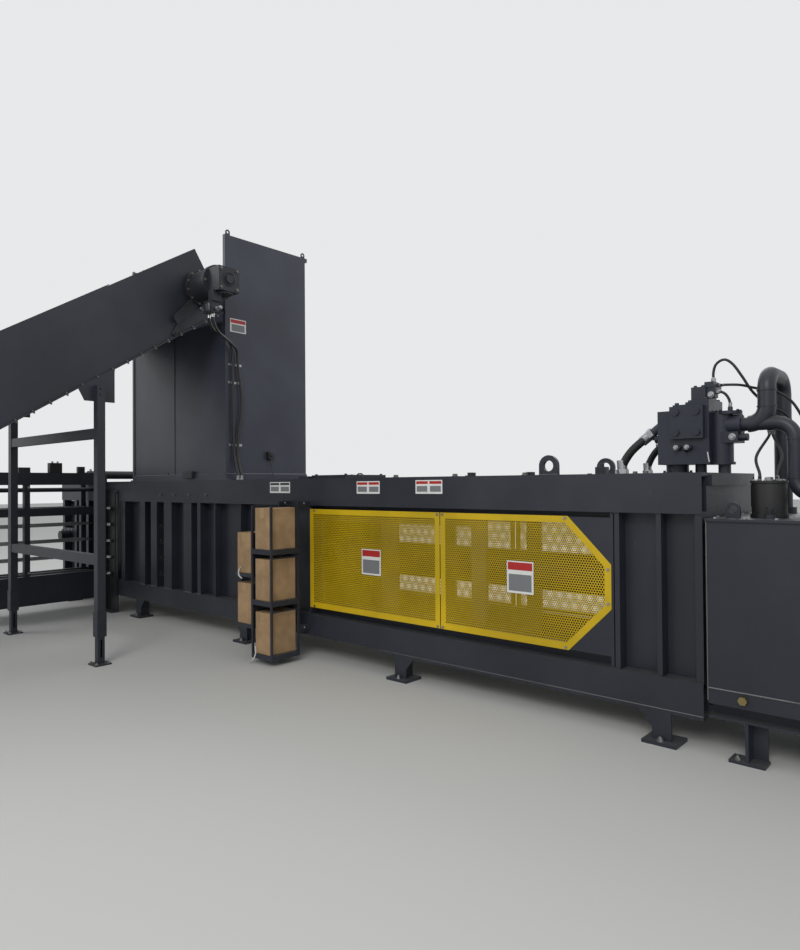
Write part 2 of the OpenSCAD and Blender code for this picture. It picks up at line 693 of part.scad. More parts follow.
pilot_hose_c = [
  [4100, -75, 2048], [4118, -75, 2048], [4148, -72, 2032], [4168, -66, 2000], [4174, -60, 1968],
  [4174, -60, 1950]
];
pilot_hose_d = [[4390, -290, 1504], [4390, -290, 1545], [4356, -220, 1640], [4370, 0, 1770], [4370, 0, 1804]];
pilot_hose_e = [[4480, -290, 1504], [4480, -290, 1550], [4484, -210, 1650], [4392, 0, 1770], [4392, 0, 1804]];
drive_hose_a = [
  [-90, -890, 3080], [-90, -890, 3030], [-130, -820, 2955], [-260, -600, 2930], [-340, -480, 2880],
  [-352, -452, 2740], [-352, -452, 2520], [-352, -450, 2280], [-352, -446, 2040], [-350, -440, 1820],
  [-325, -436, 1680], [-300, -434, 1610], [-300, -434, 1553]
];
drive_hose_b = [
  [-30, -890, 3080], [-30, -890, 3020], [-80, -800, 2930], [-230, -560, 2880], [-330, -420, 2840],
  [-350, -392, 2700], [-352, -365, 2530], [-352, -347, 2360], [-352, -356, 2180], [-352, -385, 1990],
  [-348, -400, 1810], [-320, -396, 1680], [-295, -394, 1610], [-295, -394, 1553]
];
valve_hose_r = 27;
valve_hose_b_r = 22;
pilot_hose_r = 8;
drive_hose_r = 13;
module hydraulic_hoses() color(black) {
  hose(valve_hose_a, valve_hose_r, [0, 1, 0], 1);
  hose(valve_hose_b, valve_hose_b_r, [0, 1, 0], 1);
  for (route = [pilot_hose_a, pilot_hose_b, pilot_hose_c, pilot_hose_d, pilot_hose_e])
    hose(route, pilot_hose_r, [0.2, 1, 0.1], 1);
  for (route = [drive_hose_a, drive_hose_b]) hose(route, drive_hose_r, [1, 0, 0.1], 1);
}

// Power unit
drain_x = tank_x0 + 180;
drain_z = tank_bot + 38;
drain_r = 15;
module tank() color(graphite) difference() {
  box([tank_x0, -tank_y, tank_bot], [tank_x1, tank_y, tank_top]);
  box(
    [tank_x0 + tank_t, -tank_y + tank_t, tank_bot + tank_t],
    [tank_x1 - tank_t, tank_y - tank_t, tank_top + 1]
  );
  bar_y(drain_x, -tank_y - 1, -tank_y + tank_t + 1, drain_z, drain_r);
}
module tank_lid() color(graphite) {
  difference() {
    box([tank_x0 - 4, -tank_y - 16, tank_top], [tank_x1 + 16, tank_y + 16, lid_z]);
    bar_z(up_x, riser_y, tank_top - 1, lid_z + 1, 40);
  }
  translate([tank_x0 + 112, -tank_y + 100, lid_z]) lug(76, 88, 14, 22);
  translate([tank_x1 - 112, -tank_y + 100, lid_z]) lug(76, 88, 14, 22);
  difference() {
    bar_z(up_x, riser_y, lid_z, lid_z + 40, up_r + 22);
    bar_z(up_x, riser_y, lid_z - 1, lid_z + 41, 40);
  }
  box([tank_x0 + 480, -tank_y + 60, lid_z], [tank_x0 + 720, -tank_y + 300, lid_z + 24]);
  // Filler neck with its cap
  bar_z(can_x + 33, can_y - 125, lid_z, lid_z + 14, 28);
  bar_z(can_x + 33, can_y - 125, lid_z + 14, lid_z + 52, 26);
  // Pedestal that carries the pump and motor
  box([pump_x0 + 10, -220, lid_z], [tank_x1 - 60, 220, lid_z + 12]);
}
module filter_canister() color(black) {
  bar_z(can_x, can_y, lid_z, lid_z + 24, 95);
  bar_z(can_x, can_y, lid_z + 24, lid_z + 193, 88);
  bar_z(can_x, can_y, lid_z + 193, lid_z + 205, 94);
}
module drain_plug() color(brass_tone) {
  bar_y(drain_x, -tank_y - 26, -tank_y + tank_t, drain_z, drain_r - fit);
  translate([drain_x, -tank_y - 13, drain_z]) rotate([90, 0, 0])
    cylinder(h = 26, r = 24, $fn = 6, center = true);
}
module tank_skid() color(graphite) {
  both_sides() {
    difference() {
      box([tank_x0, tank_y - 90, 215], [tank_x1, tank_y, tank_bot]);
      box([tank_x0 - 1, tank_y - 80, 225], [tank_x1 + 1, tank_y + 1, tank_bot - 10]);
    }
    for (x = [tank_x0 + 196, tank_x1 - 196]) {
      box([x - 90, tank_y - 90, 0], [x + 90, tank_y + 20, 16]);
      box([x - 8, tank_y - 90, 16], [x + 8, tank_y + 10, 215]);
      box([x + 8, tank_y - 90, 16], [x + 82, tank_y - 78, 215]);
    }
  }
  for (x = [tank_x0 + 196, tank_x1 - 196]) box([x - 40, -tank_y + 90, 215], [x + 40, tank_y - 90, tank_bot]);
}
shaft_z = lid_z + 261;
module pump() color(dark_grey) {
  bar_x(pump_x0, pump_x0 + 160, 0, shaft_z, 120);
  bar_x(pump_x0 + 160, pump_x0 + 240, 0, shaft_z, 150);
  box([pump_x0, -80, lid_z + 12], [pump_x0 + 130, 80, shaft_z - 60]);
}
module electric_motor() color(graphite) {
  x0 = pump_x0 + 240;
  x1 = tank_x1 - 70;
  difference() {
    bar_x(x0, x1 - 60, 0, shaft_z, 190);
    for (a = [0:15:345]) translate([0, 0, shaft_z]) rotate([a, 0, 0])
      box([x0 + 40, -5, 176], [x1 - 90, 5, 200]);
  }
  bar_x(x1 - 60, x1, 0, shaft_z, 176);
  for (x = [x0 + 60, x1 - 130]) box([x, -180, lid_z + 12], [x + 60, 180, shaft_z - 165]);
  box([x0 + 110, -90, shaft_z + 170], [x0 + 300, 90, shaft_z + 260]);
}

// Needle unit on the front
nf_y0 = -half_w - needle_frame_l;
nf_x0 = needle_px - needle_frame_w / 2;
nf_x1 = needle_px + needle_frame_w / 2;
nf_t = 60;
low_rail_z0 = 150;
low_rail_z1 = 480;
top_rail_z0 = 1520;
top_rail_z1 = 1660;
car_y = nf_y0 + 180;
car_w = 90;
guide_r = 25;
guide_zs = [400, 1460];
tip_y = -half_w - 36;
module needle_frame() color(graphite) {
  for (x = [nf_x0, nf_x1 - nf_t]) {
    difference() {
      box([x, nf_y0, low_rail_z0], [x + nf_t, -half_w, low_rail_z1]);
      box([x + 8, nf_y0 + 8, low_rail_z0 + 8], [x + nf_t - 8, -half_w + 1, low_rail_z1 - 8]);
    }
    box([x, nf_y0, top_rail_z0], [x + nf_t, -half_w, top_rail_z1]);
    for (y = [nf_y0, nf_y0 + 520, -half_w - 90])
      box([x, y, low_rail_z1], [x + nf_t, y + nf_t, top_rail_z0]);
    box([x, nf_y0, 0], [x + nf_t, nf_y0 + 90, low_rail_z0]);
    box([x - 30, nf_y0 - 10, 0], [x + nf_t + 30, nf_y0 + 120, 14]);
  }
  box([nf_x1 - nf_t + 14, nf_y0 + nf_t, 1160], [nf_x1, -half_w - 90, 1250]);
  for (z = [low_rail_z0, top_rail_z0 + 60])
    box([nf_x0 + nf_t, nf_y0, z], [nf_x1 - nf_t, nf_y0 + 50, z + 80]);
  for (z = guide_zs) {
    bar_y(needle_px, nf_y0 + 50, -half_w, z, guide_r);
    box([nf_x0 + nf_t, nf_y0, z - 50], [nf_x1 - nf_t, nf_y0 + 50, z + 50]);
  }
}
nc_z = top_rail_z1 - 20;
module needle_carriage() color(dark_grey) {
  difference() {
    union() {
      box([needle_px - 70, car_y, guide_zs[0] - 70], [needle_px + 70, car_y + car_w, nc_z + 60]);
      for (z = guide_zs) bar_y(needle_px, car_y - 60, car_y + car_w, z, 60);
    }
    for (z = guide_zs) bar_y(needle_px, car_y - 61, car_y + car_w + 1, z, guide_r + fit);
  }
}
module needles() color(bare_steel) {
  for (z = wire_levels) translate([needle_px - 8, 0, z]) rotate([90, 0, 90]) linear_extrude(16) polygon([
    [car_y + car_w, -needle_h / 2], [tip_y - 160, -needle_h / 2], [tip_y, -6], [tip_y, 6],
    [tip_y - 160, needle_h / 2], [car_y + car_w, needle_h / 2]
  ]);
}
nc_y0 = car_y + car_w + needle_stroke + 20;
nc_y1 = nc_y0 + needle_stroke + 160;
nc_bore = 40;
nc_rod = 25;
module needle_rod() color(bare_steel) {
  bar_y(needle_px, car_y + car_w, nc_y0 + 60, nc_z, nc_rod - fit);
  bar_y(needle_px, nc_y0 + 60, nc_y0 + 100, nc_z, nc_bore - fit);
}
module needle_cylinder() color(dark_grey) difference() {
  union() {
    bar_y(needle_px, nc_y0, nc_y1, nc_z, nc_bore + 10);
    for (y = [-460, 360]) box([needle_px - 60, y, deck_z], [needle_px + 60, y + 60, nc_z]);
  }
  bar_y(needle_px, nc_y0 + 50, nc_y1 - 30, nc_z, nc_bore);
  bar_y(needle_px, nc_y0 - 1, nc_y0 + 51, nc_z, nc_rod);
}

// Twisters on the back
tw_x = needle_px + 75;
tw_y0 = wall_y + 20;
tw_y1 = half_w + 40;
module twister(z) color(bare_steel) {
  bar_y(tw_x, tw_y0, tw_y1, z, 18 - fit);
  bar_y(tw_x, tw_y1, tw_y1 + 18, z, 55);
  difference() {
    bar_y(tw_x, tw_y0 - 14, tw_y0, z, 28);
    box([tw_x - 4, tw_y0 - 15, z], [tw_x + 4, tw_y0 - 4, z + 30]);
  }
}
module twister_1() twister(wire_levels[0]);
module twister_2() twister(wire_levels[1]);
module twister_3() twister(wire_levels[2]);
module twister_4() twister(wire_levels[3]);
module twister_5() twister(wire_levels[4]);
module twister_post() color(dark_grey) {
  // Bearing post bolted to the side wall
  difference() {
    box([tw_x - 40, tw_y0 + 20, rail_top], [tw_x + 40, tw_y1 - 8, beam_z]);
    for (z = wire_levels) bar_y(tw_x, tw_y0 + 19, tw_y1 - 7, z, 18);
  }
  box([tw_x - 60, wall_y, rail_top], [tw_x - 40, tw_y1 - 8, beam_z]);
}
module tier_cover() color(graphite) {
  y1 = tw_y1 + 60;
  difference() {
    box([needle_px - 220, half_w, rail_z], [needle_px + 220, y1, deck_z]);
    box([needle_px - 212, half_w - 1, rail_z + 8], [needle_px + 212, y1 - 8, deck_z - 8]);
  }
}

// Wire guides on the front: a plate with five shelves and pins, and a bent guard rod
col_x = needle_px + 470;
pul_y = -half_w - 46;
col_z1 = 1450;
pul_r = 32;
pul_pin_r = 8;
rod_x = col_x + 120;
rod_z0 = 230;
rod_z1 = 1400;
rod_bend = 25;
module guide_column() color(dark_grey) {
  difference() {
    box([col_x - 130, -half_w - 8, 14], [col_x + 136, -half_w, col_z1]);
    for (z = wire_levels) box([col_x - 90, -half_w - 9, z - 20], [col_x - 60, -half_w + 1, z + 20]);
  }
  box([col_x - 140, -half_w - 70, 14], [col_x - 130, -half_w, col_z1]);
  box([col_x - 140, -half_w - 90, 0], [col_x + 140, -half_w, 14]);
  for (z = wire_levels) {
    box([col_x - 40, pul_y - 20, z - 18], [col_x + 40, -half_w - 8, z - 13]);
    bar_z(col_x, pul_y, z - 13, z + 16, pul_pin_r - fit);
  }
  bar_z(rod_x, -half_w - 8 - rod_bend, rod_z0, rod_z1, 8);
  translate([rod_x, -half_w - 8, rod_z1]) rotate([90, 0, 90]) rotate([0, 0, 90]) elbow(8, rod_bend);
  translate([rod_x, -half_w - 8, rod_z0]) rotate([90, 0, 90]) rotate([0, 0, 180]) elbow(8, rod_bend);
}
module wire_pulleys() color(bare_steel) {
  for (z = wire_levels) translate([col_x, pul_y, z]) rotate_extrude() polygon([
    [pul_pin_r, -12], [pul_r, -12], [pul_r, -8], [pul_r - 6, -2],
    [pul_r - 6, 2], [pul_r, 8], [pul_r, 12], [pul_pin_r, 12]
  ]);
}

// Tension pads that squeeze the bale at the outlet, with their cylinders
module tension_pad() {
  tube_z0 = pad_hinge_z0 + pad_lug_t + 0.3;
  tube_z1 = pad_hinge_z1 - pad_lug_t - 0.3;
  difference() {
    union() {
      box([-half_l + 10, pad_y - pad_t - 2, pad_z0], [pad_x - 30, pad_y - 2, pad_z1]);
      box([pad_x - 31, pad_y - pad_t - 2, tube_z0], [pad_x, pad_y - 2, tube_z1]);
      bar_z(pad_x, pad_y, tube_z0, tube_z1, pad_r);
    }
    bar_z(pad_x, pad_y, tube_z0 - 1, tube_z1 + 1, pad_pin_r + fit);
  }
}
module front_pad() color(dark_grey) mirror([0, 1, 0]) tension_pad();
module back_pad() color(dark_grey) tension_pad();
pad_cyl_r = 60;
pad_cyl_bore = 40;
pad_cyl_y = half_w - rib_set_back;
pad_travel = 60;
module pad_rod() {
  bar_y(pad_push_x, pad_y - 1.7, pad_cyl_y + 20 + pad_travel, pad_push_z, pad_rod_r - fit);
  bar_y(pad_push_x, pad_cyl_y + 20 + pad_travel, pad_cyl_y + 50 + pad_travel, pad_push_z, pad_cyl_bore - fit);
}
module front_pad_rod() color(bare_steel) mirror([0, 1, 0]) pad_rod();
module back_pad_rod() color(bare_steel) pad_rod();
module tension_cylinders() color(dark_grey) both_sides() difference() {
  union() {
    box([-half_l + 60, pad_cyl_y - 14, pad_push_z - 90], [needle_px - 610, pad_cyl_y, pad_push_z + 90]);
    bar_y(pad_push_x, pad_cyl_y, pad_cyl_y + pad_travel + 80, pad_push_z, pad_cyl_r);
  }
  bar_y(pad_push_x, pad_cyl_y + 15, pad_cyl_y + pad_travel + 60, pad_push_z, pad_cyl_bore);
  bar_y(pad_push_x, pad_cyl_y - 15, pad_cyl_y + 16, pad_push_z, pad_rod_r);
}

// Rack with the wire cartons
rack_x0 = guard_x0 - 256;
rack_x1 = rack_x0 + carton_w + 74;
rack_y0 = -half_w - 420;
rack_y1 = rack_y0 + carton_d + 15;
rack_z1 = beam_z + 6;
right_shelves = [92, 536, 962];
left_shelves = [318, 748];
shelf_t = 4;
post = 16;
module rack_shelf(x0, x1, z) {
  box([x0, rack_y0, z - shelf_t], [x1, rack_y1, z]);
}
module wire_rack() color(graphite) {
  for (x = [rack_x0, rack_x1 - post]) for (y = [rack_y0, rack_y1 - post])
    box([x, y, 50], [x + post, y + post, rack_z1]);
  for (z = right_shelves) {
    rack_shelf(rack_x0, rack_x1, z);
    box([rack_x0, rack_y0, z - 42], [rack_x1, rack_y0 + 4, z]);
    for (x = [rack_x0, rack_x1 - 4]) {
      box([x, rack_y0, z - 42], [x + 4, rack_y1, z]);
      box([x, rack_y0, z + carton_h + 6], [x + 4, rack_y1, z + carton_h + 16]);
    }
  }
  for (z = left_shelves) {
    rack_shelf(rack_x0 - carton_w - 24, rack_x0, z);
    box([rack_x0 - carton_w - 24, rack_y0, z - 30], [rack_x0, rack_y0 + 4, z]);
    box([rack_x0 - 4, rack_y0, z - 30], [rack_x0, rack_y1, z + carton_h]);
  }
  // Brackets to the rail and the top beam
  for (x = [rack_x0, rack_x1 - post]) {
    box([x, rack_y1 - post, rail_z + 60], [x + post, -half_w, rail_z + 100]);
    box([x, rack_y1 - post, rack_z1], [x + post, -half_w, rack_z1 + 30]);
  }
}
module wire_cartons() color(kraft) {
  for (z = right_shelves)
    box([rack_x0 + 40, rack_y0 + 6, z], [rack_x0 + 40 + carton_w, rack_y0 + 6 + carton_d, z + carton_h]);
  for (z = left_shelves)
    box([rack_x0 - carton_w - 16, rack_y0 + 6, z], [rack_x0 - 16, rack_y0 + 6 + carton_d, z + carton_h]);
}

// Inclined slat conveyor in its own plane: s along the slope, n square to it
conv_x0 = hop_c - conv_w / 2;
conv_x1 = hop_c + conv_w / 2;
ref_y = -2550;
ref_z = 1944;
head_s = 2416;
flange_s = head_s - 40;
shaft_s = 2241;
shaft_n = 289;
level_z = 60;
flange_w = 30;
bend_y = ref_y - (ref_z - level_z) / tan(slope);
tail_y0 = bend_y - tail_l;
function on_slope(s, n) = [ref_y + s * cos(slope) - n * sin(slope), ref_z + s * sin(slope) + n * cos(slope)];
bend_s = (bend_y - ref_y) / cos(slope);
tail_shaft_y = tail_y0 + 260;
tail_shaft_z = level_z + shaft_n;
head_c = on_slope(shaft_s, shaft_n);
module yz(x0, x1) {
  translate([x0, 0, 0]) rotate([90, 0, 90]) linear_extrude(x1 - x0) children();
}
function band(n, end_s, end_y) = [
  on_slope(end_s, n), on_slope(bend_s + n * tan(slope / 2), n), [end_y, level_z + n]
];
module strip(n0, n1, end_s, end_y) {
  polygon(concat(band(n0, end_s, end_y), [for (i = [2:-1:0]) band(n1, end_s, end_y)[i]]));
}
module conveyor_frame() color(graphite) {
  // Side panels with folded flanges
  for (s = [0, 1]) {
    x = s == 0 ? conv_x0 : conv_x1 - panel_t;
    yz(x, x + panel_t) difference() {
      strip(0, conv_d, head_s, tail_y0);
      translate([-hop_y - 12, 0]) square([100, hopper_top]);
      translate(head_c) circle(shaft_r + 4);
      translate([tail_shaft_y, tail_shaft_z]) circle(shaft_r + 4);
    }
    fx = s == 0 ? conv_x0 - flange_w : conv_x1;
    yz(fx, fx + flange_w) strip(0, 8, flange_s, tail_y0);
    tx = s == 0 ? conv_x0 : conv_x1 - 50;
    yz(tx, tx + 50) strip(conv_d, conv_d + 8, head_s, tail_y0);
  }
  // Bearings on the panels
  for (c = [head_c, [tail_shaft_y, tail_shaft_z]]) for (x = [conv_x0 - 44, conv_x1])
    translate([x, 0, 0]) rotate([90, 0, 90]) linear_extrude(44) difference() {
      translate(c) circle(88);
      translate(c) circle(shaft_r);
    }
}
// Slider beds under the upper and lower runs of the belt
module conveyor_beds() color(graphite) {
  bed_n = shaft_n + belt_r - belt_t - seat_gap;
  yz(conv_x0 + panel_t, conv_x1 - panel_t) {
    strip(bed_n - 10, bed_n, shaft_s - 260, tail_shaft_y + 260);
    strip(0, 6, flange_s, tail_y0);
  }
}
leg_ys = [-1800, -4000];
gusset_t = 8;
gusset_h = 195;
post_top = 65;
weld_gap = 0.1;
module leg(x, y, top) {
  // Post, sleeve, slotted inner leg and base plate
  hollow_box(x, y, leg_w, 420, top - post_top, 5);
  hollow_box(x, y, leg_w + 12, 235, 440, 6);
  difference() {
    hollow_box(x, y, leg_w - 10, 12, 460, 6);
    box([x - leg_w, y - 8, 60], [x + leg_w, y + 8, 210]);
  }
  box([x - 70, y - 70, 0], [x + 70, y + 70, 12]);
  for (z = [280, 330]) bar_x(x - leg_w / 2 - 16, x + leg_w / 2 + 16, y, z, 10);
  // Bolts through the gusset
  for (z = [25, 72]) bar_x(x - leg_w / 2 - 10, x + leg_w / 2 + 10, y, top - post_top - z, 11);
}
module hollow_box(x, y, w, z0, z1, t) difference() {
  box([x - w / 2, y - w / 2, z0], [x + w / 2, y + w / 2, z1]);
  box([x - w / 2 + t, y - w / 2 + t, z0 - 1], [x + w / 2 - t, y + w / 2 - t, z1 + 1]);
}
module conveyor_legs() color(graphite) {
  outer = conv_w / 2 + flange_w;
  for (y = leg_ys) {
    top = ref_z + (y - ref_y) * tan(slope);
    for (s = [-1, 1]) {
      leg(hop_c + s * (outer + 1 + leg_w / 2), y, top);
      // Gusset between the leg and the panel's flange
      gx = hop_c + s * (outer + 1 - gusset_t / 2) - gusset_t / 2;
      yz(gx, gx + gusset_t) polygon([
        [y - 160, top - weld_gap - 160 * tan(slope)], [y - 110, top - gusset_h],
        [y + 150, top - gusset_h], [y + 150, top - weld_gap + 150 * tan(slope)]
      ]);
    }
    for (z = y == leg_ys[0] ? [1905, 835] : [500])
      box([hop_c - outer - 1, y - 30, z], [hop_c + outer + 1, y + 30, z + 85]);
  }
  // Skids under the level tail
  for (x = [conv_x0, conv_x1 - 80]) for (y = [tail_y0 + 120, bend_y - 320])
    box([x, y, 0], [x + 80, y + 200, level_z]);
}

// Slat belt: a closed loop with one notch per slat on both runs
notch = 8;
seat_gap = 0.3;
cleat_h = 60;
belt_top = shaft_n + belt_r;
belt_bot = shaft_n - belt_r;
function slat_row(p, q, out) =
  let (l = norm(q - p), d = (q - p) / l, m = floor(l / slat_pitch), w = l / m)
    [for (i = [0:m - 1]) each [
      p + d * (i * w) - out * notch, p + d * (i * w + 10) - out * notch,
      p + d * (i * w + 10), p + d * ((i + 1) * w)
    ]];
up = [-sin(slope), cos(slope)];
function arc_points(c, r, a0, a1, m) = [
  for (i = [0:m]) let (a = a0 + (a1 - a0) * i / m) c + r * [cos(a), sin(a)]
];
tail_c = [tail_shaft_y, tail_shaft_z];
module slat_belt() color(dark_grey) {
  outer_top = band(belt_top, shaft_s, tail_shaft_y);
  outer_bot = band(belt_bot, shaft_s, tail_shaft_y);
  in_top = band(belt_top - belt_t, shaft_s, tail_shaft_y);
  in_bot = band(belt_bot + belt_t, shaft_s, tail_shaft_y);
  yz(conv_x0 + 60, conv_x1 - 60) difference() {
    polygon(concat(
      arc_points(tail_c, belt_r, 270, 90, 16),
      slat_row(outer_top[2], outer_top[1], [0, 1]),
      slat_row(outer_top[1], outer_top[0], up),
      arc_points(head_c, belt_r, 90 + slope, slope - 90, 16),
      slat_row(outer_bot[0], outer_bot[1], -up),
      slat_row(outer_bot[1], outer_bot[2], [0, -1])
    ));
    polygon(concat(
      arc_points(tail_c, belt_r - belt_t, 270, 90, 16), [in_top[1]],
      arc_points(head_c, belt_r - belt_t, 90 + slope, slope - 90, 16), [in_bot[1]]
    ));
  }
  // Cleats that carry the material up the slope
  for (s = [bend_s + 500:900:shaft_s - 300])
    yz(conv_x0 + 60, conv_x1 - 60) polygon([
      on_slope(s, belt_top - 12), on_slope(s + 12, belt_top - 12),
      on_slope(s + 12, belt_top + cleat_h), on_slope(s, belt_top + cleat_h)
    ]);
}
drum_r = belt_r - belt_t - 2;
module sprocket_shaft(c, x0, x1) {
  bar_x(x0, x1, c[0], c[1], shaft_r - fit);
  for (x = [conv_x0 + 120, hop_c - 40, conv_x1 - 200]) bar_x(x, x + 80, c[0], c[1], drum_r);
}
drive_x = conv_x1 + 44;
module head_shaft() color(bare_steel) sprocket_shaft(head_c, conv_x0 - 60, drive_x + 180);
module tail_shaft() color(bare_steel) sprocket_shaft(tail_c, conv_x0 - 60, drive_x + 16);

// Drive on the head shaft: gearbox, square end and hydraulic motor
port_y = head_c[0] - 85;
port_box_z0 = ref_z + 1136;
module belt_drive() color(dark_grey) {
  y = head_c[0];
  z = head_c[1];
  difference() {
    union() {
      bar_x(drive_x, drive_x + 40, y, z, 170);
      bar_x(drive_x + 40, drive_x + 250, y, z, 150);
      bar_x(drive_x + 250, drive_x + 300, y, z, 165);
      box([drive_x + 300, y - 110, z - 110], [drive_x + 466, y + 110, z + 110]);
      bar_x(drive_x + 466, drive_x + 480, y, z, 38);
    }
    bar_x(drive_x - 1, drive_x + 181, y, z, shaft_r);
  }
  // Hydraulic motor under the square end, with its ports at the bottom
  box([conv_x1 + 355, y - 120, z - 200], [conv_x1 + 435, y - 30, z - 100]);
  box([conv_x1 + 285, port_y - 40, port_box_z0], [conv_x1 + 417, port_y + 40, z - 190]);
  // Torque arm, bolted to the side panel down the slope
  arm_s = shaft_s - 420;
  yz(drive_x, drive_x + 16) polygon([
    on_slope(shaft_s - 60, shaft_n - 20), on_slope(shaft_s - 60, shaft_n - 110),
    on_slope(arm_s, shaft_n - 190), on_slope(arm_s, shaft_n - 110)
  ]);
  arm_c = on_slope(arm_s + 40, shaft_n - 150);
  bar_x(conv_x1, drive_x, arm_c[0], arm_c[1], 22);
}
base_frame();
feet();
chamber_floor();
front_side();
back_side();
top_frame();
chamber_roof();
shear_blade();
end_plate();
deck_cover();
left_guard();
right_guard();
back_guards();
guard_screws();
sign_plates();
hopper();
hopper_sill();
ram_body();
ram_knife();
ram_rod();
rod_pin();
main_cylinder();
prefill_valve();
suction_pipes();
hydraulic_hoses();
tank();
tank_lid();
filter_canister();
drain_plug();
tank_skid();
pump();
electric_motor();
needle_frame();
needle_carriage();
needles();
needle_rod();
needle_cylinder();
twister_post();
twister_1();
twister_2();
twister_3();
twister_4();
twister_5();
tier_cover();
guide_column();
wire_pulleys();
front_pad();
back_pad();
front_pad_rod();
back_pad_rod();
tension_cylinders();
wire_rack();
wire_cartons();
conveyor_frame();
conveyor_beds();
conveyor_legs();
slat_belt();
head_shaft();
tail_shaft();
belt_drive();
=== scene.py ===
"""Looks of the recycling baler: finishes, perforated guards, hoses, cartons, signs and small fittings."""

import logging
import math
import random
from dataclasses import dataclass
from enum import Enum
from functools import lru_cache
from typing import Iterable, Sequence

import bmesh
import bpy
import numpy as np
from mathutils import Matrix, Vector


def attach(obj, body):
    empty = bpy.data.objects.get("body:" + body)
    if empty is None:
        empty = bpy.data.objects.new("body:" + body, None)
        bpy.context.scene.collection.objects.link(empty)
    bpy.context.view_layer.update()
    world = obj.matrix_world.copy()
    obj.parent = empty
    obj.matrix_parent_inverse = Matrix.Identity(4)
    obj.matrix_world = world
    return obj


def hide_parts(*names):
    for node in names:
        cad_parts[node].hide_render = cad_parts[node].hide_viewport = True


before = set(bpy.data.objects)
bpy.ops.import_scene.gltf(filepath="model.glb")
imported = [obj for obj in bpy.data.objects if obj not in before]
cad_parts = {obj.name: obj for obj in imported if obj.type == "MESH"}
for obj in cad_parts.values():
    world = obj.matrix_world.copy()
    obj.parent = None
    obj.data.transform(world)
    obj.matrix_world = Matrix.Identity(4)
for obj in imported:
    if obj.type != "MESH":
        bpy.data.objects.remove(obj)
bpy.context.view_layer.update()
LOG = logging.getLogger("baler")
Point = tuple[float, float, float]
Colour = tuple[float, float, float]
MACHINE = "machine"
SIDES = (-1, 1)
EVEN = (1, 1, 1)
UP = (0, 0, 1)
TAU = 2 * math.pi


def srgb(red: int, green: int, blue: int) -> Colour:
    """Turns a colour written as 0 to 255 into the linear values that a shader takes.

    Args:
        red: the red channel, from 0 to 255.
        green: the green channel.
        blue: the blue channel.

    Returns:
        The three linear channels.
    """
    def linear(value: int) -> float:
        """One channel, decoded."""
        share = value / 255
        return share / 12.92 if share <= 0.04045 else ((share + 0.055) / 1.055) ** 2.4
    return linear(red), linear(green), linear(blue)


def shades(colour: Colour, low: float, high: float) -> tuple[Colour, Colour]:
    """A darker and a lighter form of a colour."""
    return tuple(low * c for c in colour), tuple(min(1.0, high * c) for c in colour)


class Axis(Enum):
    """The row axis that a round piece lies along."""

    X = 0
    Y = 1
    Z = 2


# Shader maths


class Sock:
    """A socket of a node tree that takes part in Python expressions."""

    def __init__(self, tree: "Tree", socket: bpy.types.NodeSocket) -> None:
        """Keeps the tree so that an operator can add its node."""
        self.tree = tree
        self.socket = socket

    def _math(self, operation: str, *values: "Sock | float") -> "Sock":
        """Adds one Math node over the given values."""
        return self.tree.node("ShaderNodeMath", {"operation": operation}, dict(enumerate(values)))

    def __add__(self, other: "Sock | float") -> "Sock":
        """Sum."""
        return self._math("ADD", self, other)

    __radd__ = __add__

    def __rsub__(self, other: float) -> "Sock":
        """Difference from a number."""
        return self._math("SUBTRACT", other, self)

    def __mul__(self, other: "Sock | float") -> "Sock":
        """Product."""
        return self._math("MULTIPLY", self, other)

    __rmul__ = __mul__

    def fract(self) -> "Sock":
        """Part after the point."""
        return self._math("FRACT", self)

    def ramp(self, low: float, high: float) -> "Sock":
        """Rises smoothly from 0 at low to 1 at high.

        Args:
            low: the value up to which it gives 0.
            high: the value from which it gives 1.

        Returns:
            The ramped value, from 0 to 1.
        """
        return self.tree.node(
            "ShaderNodeMapRange",
            {"interpolation_type": "SMOOTHSTEP"},
            {"Value": self, "From Min": low, "From Max": high, "To Min": 0.0, "To Max": 1.0},
        )


